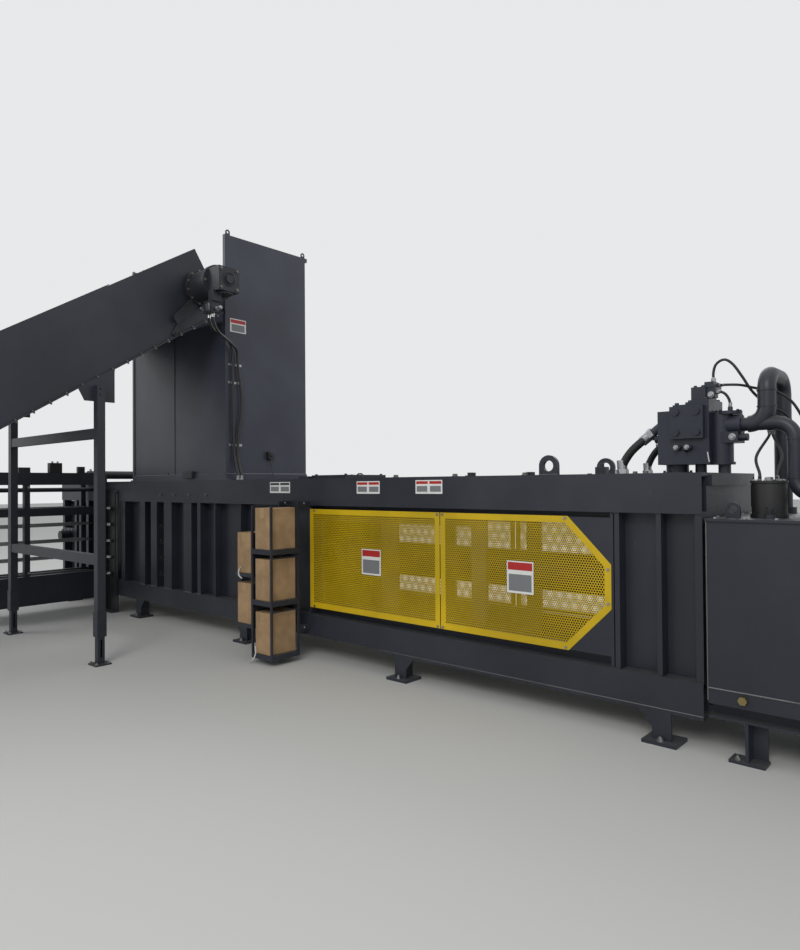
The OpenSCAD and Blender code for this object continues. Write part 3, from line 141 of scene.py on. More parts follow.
class Tree:
    """Builds one material's nodes around a Principled shader."""

    def __init__(self, name: str) -> None:
        """Makes the material and finds its shader.

        Args:
            name: the material's name.
        """
        self.material = bpy.data.materials.new(name)
        self.material.use_nodes = True
        self.nodes = self.material.node_tree.nodes
        self.links = self.material.node_tree.links
        self.shader = self.nodes["Principled BSDF"]

    def node(self, kind: str, settings: dict | None = None, inputs: dict | None = None,
             output: int | str = 0) -> Sock:
        """Adds any node.

        Args:
            kind: the node's type name.
            settings: its properties, set first.
            inputs: values or links for its sockets, by name or number.
            output: which output socket to hand back.

        Returns:
            The chosen output as a Sock.
        """
        made = self.nodes.new(kind)
        for key, value in (settings or {}).items():
            setattr(made, key, value)
        for key, value in (inputs or {}).items():
            self.feed(made.inputs[key], value)
        return Sock(self, made.outputs[output])

    def feed(self, socket: bpy.types.NodeSocket, value: "Sock | float | Colour | Point") -> None:
        """Links or sets one input socket.

        Args:
            socket: the input to fill.
            value: what is linked or set there.
        """
        if isinstance(value, Sock):
            self.links.new(value.socket, socket)
        elif isinstance(value, tuple) and socket.type == "RGBA":
            socket.default_value = (*value, 1)
        else:
            socket.default_value = value

    def set(self, **values: "Sock | float | Colour") -> None:
        """Sets the shader's sockets; an underscore stands for a space."""
        for key, value in values.items():
            self.feed(self.shader.inputs[key.replace("_", " ")], value)

    def place(self) -> Sock:
        """The surface point in object coordinates, which are metres in the machine's frame."""
        return self.node("ShaderNodeTexCoord", output="Object")

    def axis(self, axis: Axis) -> Sock:
        """One coordinate of the surface point."""
        return self.node("ShaderNodeSeparateXYZ", inputs={0: self.place()}, output=axis.value)

    def up_facing(self) -> Sock:
        """How far the surface faces up, from -1 to 1."""
        normal = self.node("ShaderNodeNewGeometry", output="Normal")
        return self.node("ShaderNodeSeparateXYZ", inputs={0: normal}, output=2)

    def noise(self, scale: float, detail: float, stretch: Point = EVEN) -> Sock:
        """Noise in object coordinates.

        Args:
            scale: features a metre.
            detail: how many finer layers it has.
            stretch: a factor for each axis; a small one draws the noise out along it.

        Returns:
            The noise value.
        """
        moved = self.node("ShaderNodeVectorMath", {"operation": "MULTIPLY"}, {0: self.place(), 1: stretch})
        inputs = {"Vector": moved, "Scale": scale, "Detail": detail, "Roughness": 0.55}
        return self.node("ShaderNodeTexNoise", inputs=inputs)

    def mix(self, share: "Sock | float", first: "Sock | Colour", second: "Sock | Colour") -> Sock:
        """Blends two colours."""
        settings = {"data_type": "RGBA", "clamp_factor": True}
        return self.node("ShaderNodeMix", settings, {0: share, 6: first, 7: second}, output=2)

    def bump(self, height: Sock, depth: float, strength: float) -> None:
        """Feeds the shader's normal from a height in metres of the given depth."""
        inputs = {"Height": height, "Distance": depth, "Strength": strength}
        self.set(Normal=self.node("ShaderNodeBump", inputs=inputs, output="Normal"))


# Finishes


@dataclass(frozen=True)
class Paint:
    """Satin machine paint with soft mottling, settled dust on what faces up, and scuffs."""

    name: str
    colour: Colour
    roughness: float = 0.42
    dust: float = 0.25
    scuffs: float = 0.1
    dust_colour: Colour = srgb(120, 118, 112)

    def build(self) -> bpy.types.Material:
        """Makes the material.

        Returns:
            The finished material.
        """
        tree = Tree(self.name)
        cloud = tree.noise(1.3, 4)
        fine = tree.noise(22, 5)
        darker, lighter = shades(self.colour, 0.8, 1.18)
        lighter = tuple(min(1.0, c + 0.003) for c in lighter)
        body = tree.mix(cloud.ramp(0.3, 0.72), darker, lighter)
        scratch = tree.noise(60, 6, (1, 1, 0.12)).ramp(0.66, 0.78) * self.scuffs
        lying = tree.up_facing().ramp(0.35, 0.95) * (0.45 + fine * 0.9) * self.dust
        haze = cloud.ramp(0.45, 0.8) * fine.ramp(0.4, 0.8) * (0.25 * self.dust)
        dusty = tree.mix(lying + haze + scratch, body, self.dust_colour)
        tree.set(Base_Color=dusty, Roughness=fine * 0.16 + (self.roughness - 0.08) + lying * 0.4)
        tree.set(Specular_IOR_Level=0.42)
        tree.bump(tree.noise(420, 2), 0.0004, 0.25)
        return tree.material


@dataclass(frozen=True)
class Steel:
    """Bare steel, brushed along one axis, with darker worn patches."""

    name: str
    colour: Colour
    roughness: float = 0.36
    stretch: Point = (0.05, 1, 1)
    stain: float = 0.35
    stain_colour: Colour = srgb(92, 84, 74)

    def build(self) -> bpy.types.Material:
        """Makes the material.

        Returns:
            The finished material.
        """
        tree = Tree(self.name)
        grain = tree.noise(260, 3, self.stretch)
        patch = tree.noise(4.5, 5).ramp(0.45, 0.72)
        dark, light = shades(self.colour, 0.82, 1.12)
        tree.set(Base_Color=tree.mix(patch * self.stain, tree.mix(grain, dark, light), self.stain_colour))
        tree.set(Metallic=1 - patch * (0.5 * self.stain))
        tree.set(Roughness=grain * 0.18 + (self.roughness - 0.08) + patch * 0.15)
        tree.bump(grain, 0.0002, 0.3)
        return tree.material


@dataclass(frozen=True)
class Rubber:
    """Matt black hose cover with a faint wrap and dust."""

    name: str
    colour: Colour = srgb(22, 22, 24)

    def build(self) -> bpy.types.Material:
        """Makes the material.

        Returns:
            The finished material.
        """
        tree = Tree(self.name)
        fine = tree.noise(90, 4)
        tree.set(Base_Color=tree.mix(fine.ramp(0.45, 0.8) * 0.35, self.colour, srgb(58, 57, 55)))
        tree.set(Roughness=fine * 0.2 + 0.45)
        tree.bump(tree.noise(300, 2), 0.0003, 0.4)
        return tree.material


@dataclass(frozen=True)
class Card:
    """Kraft cardboard with flutes, mottling and rubbed marks."""

    name: str
    colour: Colour = srgb(172, 141, 104)

    def build(self) -> bpy.types.Material:
        """Makes the material.

        Returns:
            The finished material.
        """
        tree = Tree(self.name)
        flute = (tree.axis(Axis.X) * 150 + tree.axis(Axis.Y) * 150).fract()
        speck = tree.noise(210, 4)
        cloud = tree.noise(7, 4)
        dark, light = shades(self.colour, 0.78, 1.12)
        body = tree.mix(cloud.ramp(0.3, 0.75), dark, light)
        tree.set(Base_Color=tree.mix(speck.ramp(0.5, 0.75) * 0.3, body, srgb(134, 105, 74)))
        tree.set(Roughness=speck * 0.15 + 0.72)
        tree.bump(flute * 0.5 + speck, 0.0006, 0.35)
        return tree.material


@dataclass(frozen=True)
class Plain:
    """Smooth plastic, tape, brass or enamel with slight unevenness."""

    name: str
    colour: Colour
    roughness: float = 0.45
    metallic: float = 0.0
    soil: float = 0.12

    def build(self) -> bpy.types.Material:
        """Makes the material.

        Returns:
            The finished material.
        """
        tree = Tree(self.name)
        cloud = tree.noise(30, 4)
        tree.set(Base_Color=tree.mix(cloud.ramp(0.4, 0.8) * self.soil, self.colour, srgb(70, 68, 64)))
        tree.set(Roughness=cloud * 0.15 + (self.roughness - 0.07), Metallic=self.metallic)
        tree.bump(tree.noise(250, 2), 0.0002, 0.3)
        return tree.material


@dataclass(frozen=True)
class Belt:
    """Steel slats of the belt, rubbed bright in streaks along the run."""

    name: str
    colour: Colour = srgb(84, 84, 84)

    def build(self) -> bpy.types.Material:
        """Makes the material.

        Returns:
            The finished material.
        """
        tree = Tree(self.name)
        streak = tree.noise(14, 4, (1, 0.06, 0.06))
        patch = tree.noise(3, 4)
        dark, light = shades(self.colour, 0.6, 1.25)
        body = tree.mix(streak.ramp(0.35, 0.7), dark, light)
        tree.set(Base_Color=tree.mix(patch.ramp(0.5, 0.8) * 0.4, body, srgb(94, 84, 70)), Metallic=0.55)
        tree.set(Roughness=streak * 0.2 + 0.38)
        tree.bump(tree.noise(180, 3), 0.0003, 0.35)
        return tree.material


Finish = Paint | Steel | Rubber | Card | Plain | Belt

GRAPHITE = Paint("graphite_paint", srgb(41, 44, 53))
HOPPER_GREY = Paint("hopper_paint", srgb(55, 58, 70), roughness=0.38, dust=0.3)
DARK = Paint("dark_paint", srgb(38, 39, 44), roughness=0.46)
VALVE_GREY = Paint("valve_paint", srgb(40, 45, 57), roughness=0.36, dust=0.2)
YELLOW = Paint("guard_yellow", srgb(206, 172, 14), dust=0.2, dust_colour=srgb(140, 120, 62))
WELD = Steel("weld_bead", srgb(128, 128, 130), roughness=0.42, stretch=EVEN, stain=0.5)
MOTOR_GREY = Paint("motor_paint", srgb(78, 84, 92), roughness=0.4)
BARE = Steel("worn_steel", srgb(120, 118, 114), roughness=0.45, stain=0.6)
BRIGHT = Steel("bright_steel", srgb(196, 197, 198), roughness=0.24, stain=0.15)
ZINC = Steel("zinc_steel", srgb(168, 170, 172), roughness=0.34, stretch=EVEN, stain=0.25)
RUBBER = Rubber("black_rubber")
BLACK = Plain("black_plastic", srgb(26, 26, 28), roughness=0.5)
KRAFT = Card("kraft_card")
TAPE = Plain("packing_tape", srgb(176, 146, 104), roughness=0.28)
BRASS = Plain("brass", srgb(150, 134, 94), roughness=0.36, metallic=0.9, soil=0.3)
WHITE = Plain("sign_white", srgb(226, 226, 222), roughness=0.4, soil=0.08)
RED = Plain("sign_red", srgb(176, 36, 34), roughness=0.4, soil=0.05)
GREY_FIELD = Plain("sign_grey", srgb(120, 122, 124), roughness=0.4, soil=0.05)
DARK_FIELD = Plain("sign_dark", srgb(44, 46, 50), roughness=0.4, soil=0.05)
WHITE_CABLE = Plain("white_cable", srgb(208, 208, 204), roughness=0.5)
BELT = Belt("slat_belt")


@lru_cache(maxsize=None)
def material(finish: Finish) -> bpy.types.Material:
    """Builds each finish once."""
    return finish.build()


CAD_FINISHES: dict[Finish, str] = {
    GRAPHITE: "base_frame feet front_side back_side top_frame chamber_roof end_plate deck_cover tank "
              "tank_lid tank_skid needle_frame tier_cover wire_rack conveyor_frame conveyor_beds "
              "conveyor_legs suction_pipes",
    HOPPER_GREY: "hopper hopper_sill",
    DARK: "main_cylinder needle_carriage needle_cylinder twister_post guide_column front_pad back_pad "
          "tension_cylinders belt_drive pump",
    VALVE_GREY: "prefill_valve",
    MOTOR_GREY: "electric_motor",
    YELLOW: "left_guard right_guard back_guards",
    BARE: "chamber_floor shear_blade ram_body ram_knife head_shaft tail_shaft",
    ZINC: "guard_screws needles",
    BRIGHT: "ram_rod rod_pin needle_rod twister_1 twister_2 twister_3 twister_4 twister_5 wire_pulleys "
            "front_pad_rod back_pad_rod",
    RUBBER: "hydraulic_hoses",
    BLACK: "filter_canister",
    KRAFT: "wire_cartons",
    BRASS: "drain_plug",
    WHITE: "sign_plates",
    BELT: "slat_belt",
}


def dress_frame() -> None:
    """Gives every CAD node its finish."""
    for finish, names in CAD_FINISHES.items():
        for name in names.split():
            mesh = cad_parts[name].data
            mesh.materials.clear()
            mesh.materials.append(material(finish))
            LOG.info("dressed %s", name)


# Mesh building


def sleeve(rings: int, sides: int) -> list[tuple[int, ...]]:
    """Faces that join a row of rings of the same number of points and close its two ends.

    Args:
        rings: how many rings there are.
        sides: how many points each ring has.

    Returns:
        The faces as point numbers, which count on from ring to ring.
    """
    faces = []
    for i in range(rings - 1):
        for k in range(sides):
            a, b = i * sides + k, i * sides + (k + 1) % sides
            faces.append((a, b, b + sides, a + sides))
    last = (rings - 1) * sides
    return faces + [tuple(range(sides))[::-1], tuple(range(last, last + sides))]


def circle(count: int, radius: float, start: float = 0.0) -> list[tuple[float, float]]:
    """Evenly spread places on a circle; start is a share of one step."""
    turns = [TAU * (k + start) / count for k in range(count)]
    return [(radius * math.cos(turn), radius * math.sin(turn)) for turn in turns]


def square(half_a: float, half_b: float | None = None) -> list[tuple[float, float]]:
    """The four corners of a rectangle round a place."""
    return [(a, b) for a in (-half_a, half_a) for b in (-(half_b or half_a), half_b or half_a)]


def round_way(side: Vector, other: Vector, turn: float) -> Vector:
    """Unit vector at a share of a turn from side towards other."""
    return math.cos(TAU * turn) * side + math.sin(TAU * turn) * other


def heading(points: Sequence[Vector], i: int) -> Vector:
    """Unit vector along a path at one of its points."""
    return (points[min(i + 1, len(points) - 1)] - points[max(i - 1, 0)]).normalized()


def from_axis(axis: Axis, along: float, a: float, b: float, origin: Point = (0, 0, 0)) -> Point:
    """The point at a place along an axis and at (a, b) across it, counted from an origin.

    Args:
        axis: the axis that `along` is measured on.
        along: the place along the axis.
        a: the first coordinate across the axis.
        b: the second coordinate across it.
        origin: the point that all three are counted from.

    Returns:
        The point.
    """
    offsets = [a, b]
    offsets.insert(axis.value, along)
    return tuple(start + offset for start, offset in zip(origin, offsets))


class Shape:
    """Collects closed forms in one mesh and turns them into a piece of the machine."""

    def __init__(self) -> None:
        """Starts empty."""
        self.bm = bmesh.new()

    def solid(self, verts: Sequence[Point], faces: Iterable[Sequence[int]]) -> "Shape":
        """Adds vertices and faces.

        Args:
            verts: the corner points.
            faces: the corner numbers of each face.

        Returns:
            This shape, so that another call can follow.
        """
        made = [self.bm.verts.new(v) for v in verts]
        for face in faces:
            self.bm.faces.new([made[i] for i in face])
        return self

    def box(self, low: Point, high: Point) -> "Shape":
        """Adds a box between two corners.

        Args:
            low: one corner.
            high: the corner opposite.

        Returns:
            This shape, so that another call can follow.
        """
        spans = list(zip(low, high))
        corners = [(x, y, z) for x in spans[0] for y in spans[1] for z in spans[2]]
        faces = [(0, 1, 3, 2), (4, 6, 7, 5), (0, 4, 5, 1), (2, 3, 7, 6), (0, 2, 6, 4), (1, 5, 7, 3)]
        return self.solid(corners, faces)

    def turned(self, axis: Axis, centre: Point, profile: Sequence[tuple[float, float]],
               sides: int = 32) -> "Shape":
        """Adds a solid of revolution.

        Args:
            axis: the axis it turns about.
            centre: a point on that axis.
            profile: (place along the axis from the centre, radius) pairs; a radius of 0 closes it.
            sides: how many facets go round.

        Returns:
            This shape, so that another call can follow.
        """
        verts = [from_axis(axis, along, radius * a, radius * b, centre)
                 for along, radius in profile for a, b in circle(sides, 1)]
        return self.solid(verts, sleeve(len(profile), sides))

    def rod(self, axis: Axis, centre: Point, low: float, high: float, radius: float,
            sides: int = 24) -> "Shape":
        """Adds a chamfered cylinder from low to high along the axis, counted from the centre.

        Args:
            axis: the axis it lies along.
            centre: a point on that axis.
            low: where it starts, counted from the centre.
            high: where it ends.
            radius: its radius.
            sides: how many facets go round.

        Returns:
            This shape, so that another call can follow.
        """
        edge = min(radius * 0.12, (high - low) * 0.2)
        profile = [(low, radius - edge), (low + edge, radius), (high - edge, radius), (high, radius - edge)]
        return self.turned(axis, centre, profile, sides)

    def bolt(self, axis: Axis, seat: Point, way: int, size: float) -> "Shape":
        """Adds a hexagon head with its washer.

        Args:
            axis: the axis the bolt lies along.
            seat: the point under the washer.
            way: +1 or -1, the side the head stands on.
            size: radius over the head's corners.

        Returns:
            This shape, so that another call can follow.
        """
        start = 0.18 * size
        self.rod(axis, seat, min(0, way * start), max(0, way * start), 1.25 * size, 20)
        top = start + 0.75 * size
        steps = [(way * start, size), (way * (top - 0.12 * size), size), (way * top, 0.86 * size)]
        return self.turned(axis, seat, sorted(steps), 6)

    def bolts(self, axis: Axis, seats: Iterable[Point], way: int, size: float) -> "Shape":
        """Adds equal bolts on several seats.

        Args:
            axis: the axis the bolts lie along.
            seats: the point under each washer.
            way: +1 or -1, the side the heads stand on.
            size: radius over a head's corners.

        Returns:
            This shape, so that another call can follow.
        """
        for seat in seats:
            self.bolt(axis, seat, way, size)
        return self

    def ring(self, axis: Axis, centre: Point, radius: float, thick: float, sides: int = 40,
             around: int = 12) -> "Shape":
        """Adds a torus.

        Args:
            axis: the axis it goes round.
            centre: its middle.
            radius: from its middle to the middle of its section.
            thick: radius of its section.
            sides: how many facets go round the axis.
            around: how many facets go round the section.

        Returns:
            This shape, so that another call can follow.
        """
        section = [(radius + thick * out, thick * rise) for out, rise in circle(around, 1)]
        verts = [from_axis(axis, rise, out * a, out * b, centre)
                 for a, b in circle(sides, 1) for out, rise in section]
        faces = []
        for i in range(sides):
            here, after = i * around, (i + 1) % sides * around
            faces += [(here + k, after + k, after + (k + 1) % around, here + (k + 1) % around)
                      for k in range(around)]
        return self.solid(verts, faces)

    def prism(self, axis: Axis, outline: Sequence[tuple[float, float]], low: float, high: float) -> "Shape":
        """Adds a flat outline, given across an axis, drawn out from low to high along it."""
        verts = [from_axis(axis, along, a, b) for along in (low, high) for a, b in outline]
        return self.solid(verts, sleeve(2, len(outline)))

    def tube(self, path: Sequence[Point], radius: float, sides: int = 12) -> "Shape":
        """Adds a round tube along a path, closed at both ends.

        Args:
            path: the points it follows.
            radius: its radius.
            sides: how many facets go round.

        Returns:
            This shape, so that another call can follow.
        """
        points = [Vector(p) for p in path]
        up = Vector((0.21, 0.37, 1)).normalized()
        verts: list[Point] = []
        side = None
        for i, point in enumerate(points):
            ahead = heading(points, i)
            side = ahead.cross(up) if side is None else side - ahead * side.dot(ahead)
            side.normalize()
            other = ahead.cross(side)
            verts += [tuple(point + radius * round_way(side, other, k / sides)) for k in range(sides)]
        return self.solid(verts, sleeve(len(points), sides))

    def bead(self, path: Sequence[Point], radius: float, seed: int) -> "Shape":
        """Adds a rippled weld bead along a path.

        Args:
            path: the seam it lies on.
            radius: about half its width.
            seed: seed of the random draws behind its ripples.

        Returns:
            This shape, so that another call can follow.
        """
        draw, sides = random.Random(seed), 6
        points = [Vector(p) for p in smooth_path(path, max(6, int(path_length(path) / (1.6 * radius))))]
        up = Vector((0.1, 0.2, 1)).normalized()
        verts: list[Point] = []
        for i, point in enumerate(points):
            ahead = heading(points, i)
            side = ahead.cross(up).normalized()
            other = ahead.cross(side)
            size = radius * (0.8 + 0.3 * (i % 2) + draw.uniform(-0.08, 0.08))
            verts += [tuple(point + size * round_way(side, other, k / sides)) for k in range(sides)]
        return self.solid(verts, sleeve(len(points), sides))

    def piece(self, name: str, finish: Finish, slot: str, bevel: float = 0.0015,
              stands_for: str = "") -> bpy.types.Object:
        """Turns what was added into one object of the machine's body.

        Args:
            name: the piece's name.
            finish: its finish.
            slot: not used.
            bevel: the width of its rounded edges, 0 for none.
            stands_for: CAD nodes that it replaces, parted by spaces.

        Returns:
            The new object.
        """
        bmesh.ops.recalc_face_normals(self.bm, faces=self.bm.faces)
        mesh = bpy.data.meshes.new(name)
        self.bm.to_mesh(mesh)
        self.bm.free()
        return finish_piece(mesh, name, finish, bevel, stands_for)


def finish_piece(mesh: bpy.types.Mesh, name: str, finish: Finish, bevel: float = 0.0,
                 stands_for: str = "", angle: float = 35) -> bpy.types.Object:
    """Links a mesh as an object of the machine's body, with its finish and rounded edges.

    Args:
        mesh: the mesh to use.
        name: the piece's name.
        finish: its finish.
        bevel: the width of its rounded edges, 0 for none.
        stands_for: CAD nodes that it replaces, parted by spaces.
        angle: edges sharper than this stay sharp.

    Returns:
        The new object.
    """
    mesh.materials.append(material(finish))
    mesh.shade_smooth()
    mesh.set_sharp_from_angle(angle=math.radians(angle))
    made = bpy.data.objects.new(name, mesh)
    bpy.context.scene.collection.objects.link(made)
    if bevel:
        rounded = made.modifiers.new("rounded edges", "BEVEL")
        rounded.width, rounded.segments, rounded.limit_method = bevel, 2, "ANGLE"
        rounded.angle_limit = math.radians(50)
        rounded.use_clamp_overlap = True
    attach(made, MACHINE)
    if stands_for:
        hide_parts(*stands_for.split())
    LOG.info("piece %s", name)
    return made


def path_length(path: Sequence[Point]) -> float:
    """Length of a path of straight stretches."""
    return sum((Vector(b) - Vector(a)).length for a, b in zip(path, path[1:]))


def smooth_path(path: Sequence[Point], count: int) -> list[Point]:
    """Draws a smooth curve through a path's points.

    Args:
        path: the points it passes.
        count: how many points to return.

    Returns:
        Evenly spread points from the first to the last.
    """
    points = [Vector(p) for p in path]
    dense: list[Vector] = []
    for i in range(len(points) - 1):
        a, b, c, d = points[max(i - 1, 0)], points[i], points[i + 1], points[min(i + 2, len(points) - 1)]
        for k in range(24):
            t = k / 24
            bend, twist = 2 * a - 5 * b + 4 * c - d, 3 * b - a - 3 * c + d
            dense.append(0.5 * (2 * b + (c - a) * t + bend * t * t + twist * t ** 3))
    dense.append(points[-1])
    steps = np.array([0.0] + [(b - a).length for a, b in zip(dense, dense[1:])]).cumsum()
    wanted = np.linspace(0, steps[-1], count)
    table = np.array([tuple(p) for p in dense])
    return [tuple(float(np.interp(w, steps, table[:, i])) for i in range(3)) for w in wanted]


# Studio


@dataclass
class Studio:
    """Floor, soft light and the camera at the photograph's viewing angle."""

    eye: Point = (5.47, -4.525, 1.5)
    yaw: float = 41.5757
    pitch: float = 0.7407
    roll: float = -0.4163
    focal_px: float = 697.76
    picture: tuple[int, int] = (800, 950)
    floor_colour: Colour = srgb(206, 205, 200)

    def build(self) -> None:
        """Makes the camera, the floor and the lights."""
        self._camera()
        self._floor()
        self._world()
        self._lamp("key", (7.0, -11.0, 8.5), (0.5, -1.0, 1.2), 6.0, 620)
        self._lamp("fill", (-8.0, -9.0, 6.0), (-1.5, -1.0, 1.5), 6.0, 260)
        self._lamp("back", (0.0, 9.0, 7.5), (0.0, 0.0, 1.5), 8.0, 420)
        bpy.context.scene.view_settings.view_transform = "Standard"

    def _camera(self) -> None:
        """Places the camera by its eye and angles."""
        yaw, pitch, roll = (math.radians(v) for v in (self.yaw, self.pitch, self.roll))
        right = Vector((math.cos(yaw), math.sin(yaw), 0))
        ahead = Vector((-math.sin(yaw), math.cos(yaw), 0))
        up = Vector(UP)
        sight = ahead * math.cos(pitch) + up * math.sin(pitch)
        crown = up * math.cos(pitch) - ahead * math.sin(pitch)
        side = right * math.cos(roll) + crown * math.sin(roll)
        top = crown * math.cos(roll) - right * math.sin(roll)
        data = bpy.data.cameras.new("photo_view")
        data.sensor_width = 36
        data.lens = self.focal_px / max(self.picture) * data.sensor_width
        data.clip_end = 200
        camera = bpy.data.objects.new("photo_view", data)
        turn = Matrix((side, top, -sight)).transposed().to_4x4()
        camera.matrix_world = Matrix.Translation(self.eye) @ turn
        bpy.context.scene.collection.objects.link(camera)
        bpy.context.scene.camera = camera

    def _floor(self) -> None:
        """Lays a large pale floor that fades into the background."""
        mesh = bpy.data.meshes.new("studio_floor")
        far = 60.0
        corners = [(-far, -far, 0), (far, -far, 0), (far, far, 0), (-far, far, 0)]
        mesh.from_pydata(corners, [], [(0, 1, 2, 3)])
        tree = Tree("studio_floor")
        tree.set(Base_Color=self.floor_colour, Roughness=0.75, Specular_IOR_Level=0.2)
        mesh.materials.append(tree.material)
        floor = bpy.data.objects.new("studio_floor", mesh)
        bpy.context.scene.collection.objects.link(floor)

    def _world(self) -> None:
        """Even pale light from all round, shown as a pale background."""
        world = bpy.data.worlds.new("studio")
        bpy.context.scene.world = world
        world.use_nodes = True
        nodes, links = world.node_tree.nodes, world.node_tree.links
        shown, lit, path, mix = (nodes.new(k) for k in (
            "ShaderNodeBackground", "ShaderNodeBackground", "ShaderNodeLightPath", "ShaderNodeMixShader"))
        for node, colour, strength in ((shown, srgb(232, 233, 234), 1.0), (lit, srgb(236, 240, 246), 0.62)):
            node.inputs["Color"].default_value = (*colour, 1)
            node.inputs["Strength"].default_value = strength
        seen = path.outputs["Is Camera Ray"]
        for ray in ("Is Glossy Ray", "Is Transmission Ray"):
            either = nodes.new("ShaderNodeMath")
            either.operation = "MAXIMUM"
            links.new(seen, either.inputs[0])
            links.new(path.outputs[ray], either.inputs[1])
            seen = either.outputs[0]
        links.new(seen, mix.inputs[0])
        links.new(lit.outputs[0], mix.inputs[1])
        links.new(shown.outputs[0], mix.inputs[2])
        links.new(mix.outputs[0], nodes["World Output"].inputs["Surface"])

    @staticmethod
    def _lamp(name: str, place: Point, aim: Point, size: float, watts: float) -> None:
        """Adds one large soft lamp.

        Args:
            name: the lamp's name.
            place: where it hangs.
            aim: the point it faces.
            size: its diameter.
            watts: its power.
        """
        data = bpy.data.lights.new(name, "AREA")
        data.shape, data.size, data.energy = "DISK", size, watts
        lamp = bpy.data.objects.new(name, data)
        lamp.location = place
        lamp.rotation_mode = "QUATERNION"
        lamp.rotation_quaternion = (Vector(aim) - Vector(place)).to_track_quat("-Z", "Y")
        bpy.context.scene.collection.objects.link(lamp)


# Hoses


@dataclass(frozen=True)
class HoseRun:
    """One hose: its name, radius and route in metres."""

    name: str
    radius: float
    route: tuple[Point, ...]


def millimetres(*points: Point) -> tuple[Point, ...]:
    """Turns a route written in millimetres into metres."""
    return tuple((x / 1000, y / 1000, z / 1000) for x, y, z in points)


HOSE_NODE = "hydraulic_hoses"
HOSES = (
    HoseRun("valve_hose_large", 0.027, millimetres(
        (3520, -120, 1553), (3520, -120, 1600), (3540, -120, 1645), (3580, -118, 1700), (3635, -110, 1752),
        (3699, -95, 1803), (3719, -95, 1818))),
    HoseRun("valve_hose_small", 0.022, millimetres(
        (3608, 80, 1553), (3608, 80, 1595), (3624, 80, 1640), (3656, 76, 1690), (3697, 68, 1727),
        (3735, 60, 1745), (3757, 60, 1745))),
    HoseRun("pilot_line_a", 0.008, millimetres(
        (4080, -60, 2110), (4080, -60, 2170), (4098, -60, 2220), (4144, -56, 2241), (4188, -45, 2208),
        (4232, -28, 2135), (4282, 20, 2035), (4340, 130, 1960), (4420, 205, 1900), (4475, 260, 1760),
        (4500, 300, 1500), (4500, 300, 1299))),
    HoseRun("pilot_line_b", 0.008, millimetres(
        (4092, 0, 2095), (4122, 0, 2095), (4205, 40, 2090), (4280, 88, 2068), (4370, 130, 2050),
        (4470, 160, 1960), (4545, 205, 1760), (4560, 230, 1540), (4560, 230, 1299))),
    HoseRun("pilot_line_c", 0.008, millimetres(
        (4100, -75, 2048), (4118, -75, 2048), (4148, -72, 2032), (4168, -66, 2000), (4174, -60, 1968),
        (4174, -60, 1950))),
    HoseRun("pilot_line_d", 0.008, millimetres(
        (4390, -290, 1504), (4390, -290, 1545), (4356, -220, 1640), (4370, 0, 1770), (4370, 0, 1804))),
    HoseRun("pilot_line_e", 0.008, millimetres(
        (4480, -290, 1504), (4480, -290, 1550), (4484, -210, 1650), (4392, 0, 1770), (4392, 0, 1804))),
    HoseRun("drive_hose_front", 0.013, millimetres(
        (-90, -890, 3080), (-90, -890, 3030), (-130, -820, 2955), (-260, -600, 2930), (-340, -480, 2880),
        (-352, -452, 2740), (-352, -452, 2520), (-352, -450, 2280), (-352, -446, 2040), (-350, -440, 1820),
        (-325, -436, 1680), (-300, -434, 1610), (-300, -434, 1553))),
    HoseRun("drive_hose_back", 0.013, millimetres(
        (-30, -890, 3080), (-30, -890, 3020), (-80, -800, 2930), (-230, -560, 2880), (-330, -420, 2840),
        (-350, -392, 2700), (-352, -365, 2530), (-352, -347, 2360), (-352, -356, 2180), (-352, -385, 1990),
        (-348, -400, 1810), (-320, -396, 1680), (-295, -394, 1610), (-295, -394, 1553))),
)


@dataclass
class Hoses:
    """All flexible hoses with the crimped ferrules at their ends."""

    runs: tuple[HoseRun, ...] = HOSES
    per_metre: int = 60
    fewest: int = 24
    sides: int = 16

    def build(self) -> None:
        for run in self.runs:
            count = max(self.fewest, int(self.per_metre * path_length(run.route)))
            path = smooth_path(run.route, count)
            shape = Shape().tube(path, run.radius, self.sides)
            hose = shape.piece(run.name, RUBBER, "black_rubber", bevel=0, stands_for=HOSE_NODE)
            self._ferrules(run, path)

    def _ferrules(self, run: HoseRun, path: list[Point]) -> bpy.types.Object:
        """Adds the crimped sleeve and nut over each end of a hose.

        Args:
            run: the hose.
            path: the smooth points it follows.

        Returns:
            The piece with the fittings of both ends.
        """
        fittings = Shape()
        long, wide = 3.4 * run.radius, 1.22 * run.radius
        for tip, inner in ((path[0], path[2]), (path[-1], path[-3])):
            way = (Vector(inner) - Vector(tip)).normalized()
            start = Vector(tip) + way * 0.0006
            fittings.tube([tuple(start + way * long * t) for t in (0, 0.3, 0.6, 1)], wide, self.sides)
            fittings.tube([tuple(start), tuple(start + way * long * 0.35)], wide * 1.22, 6)
        return fittings.piece(run.name + "_ferrules", ZINC, "bright_steel", bevel=0.0008)


# Guards


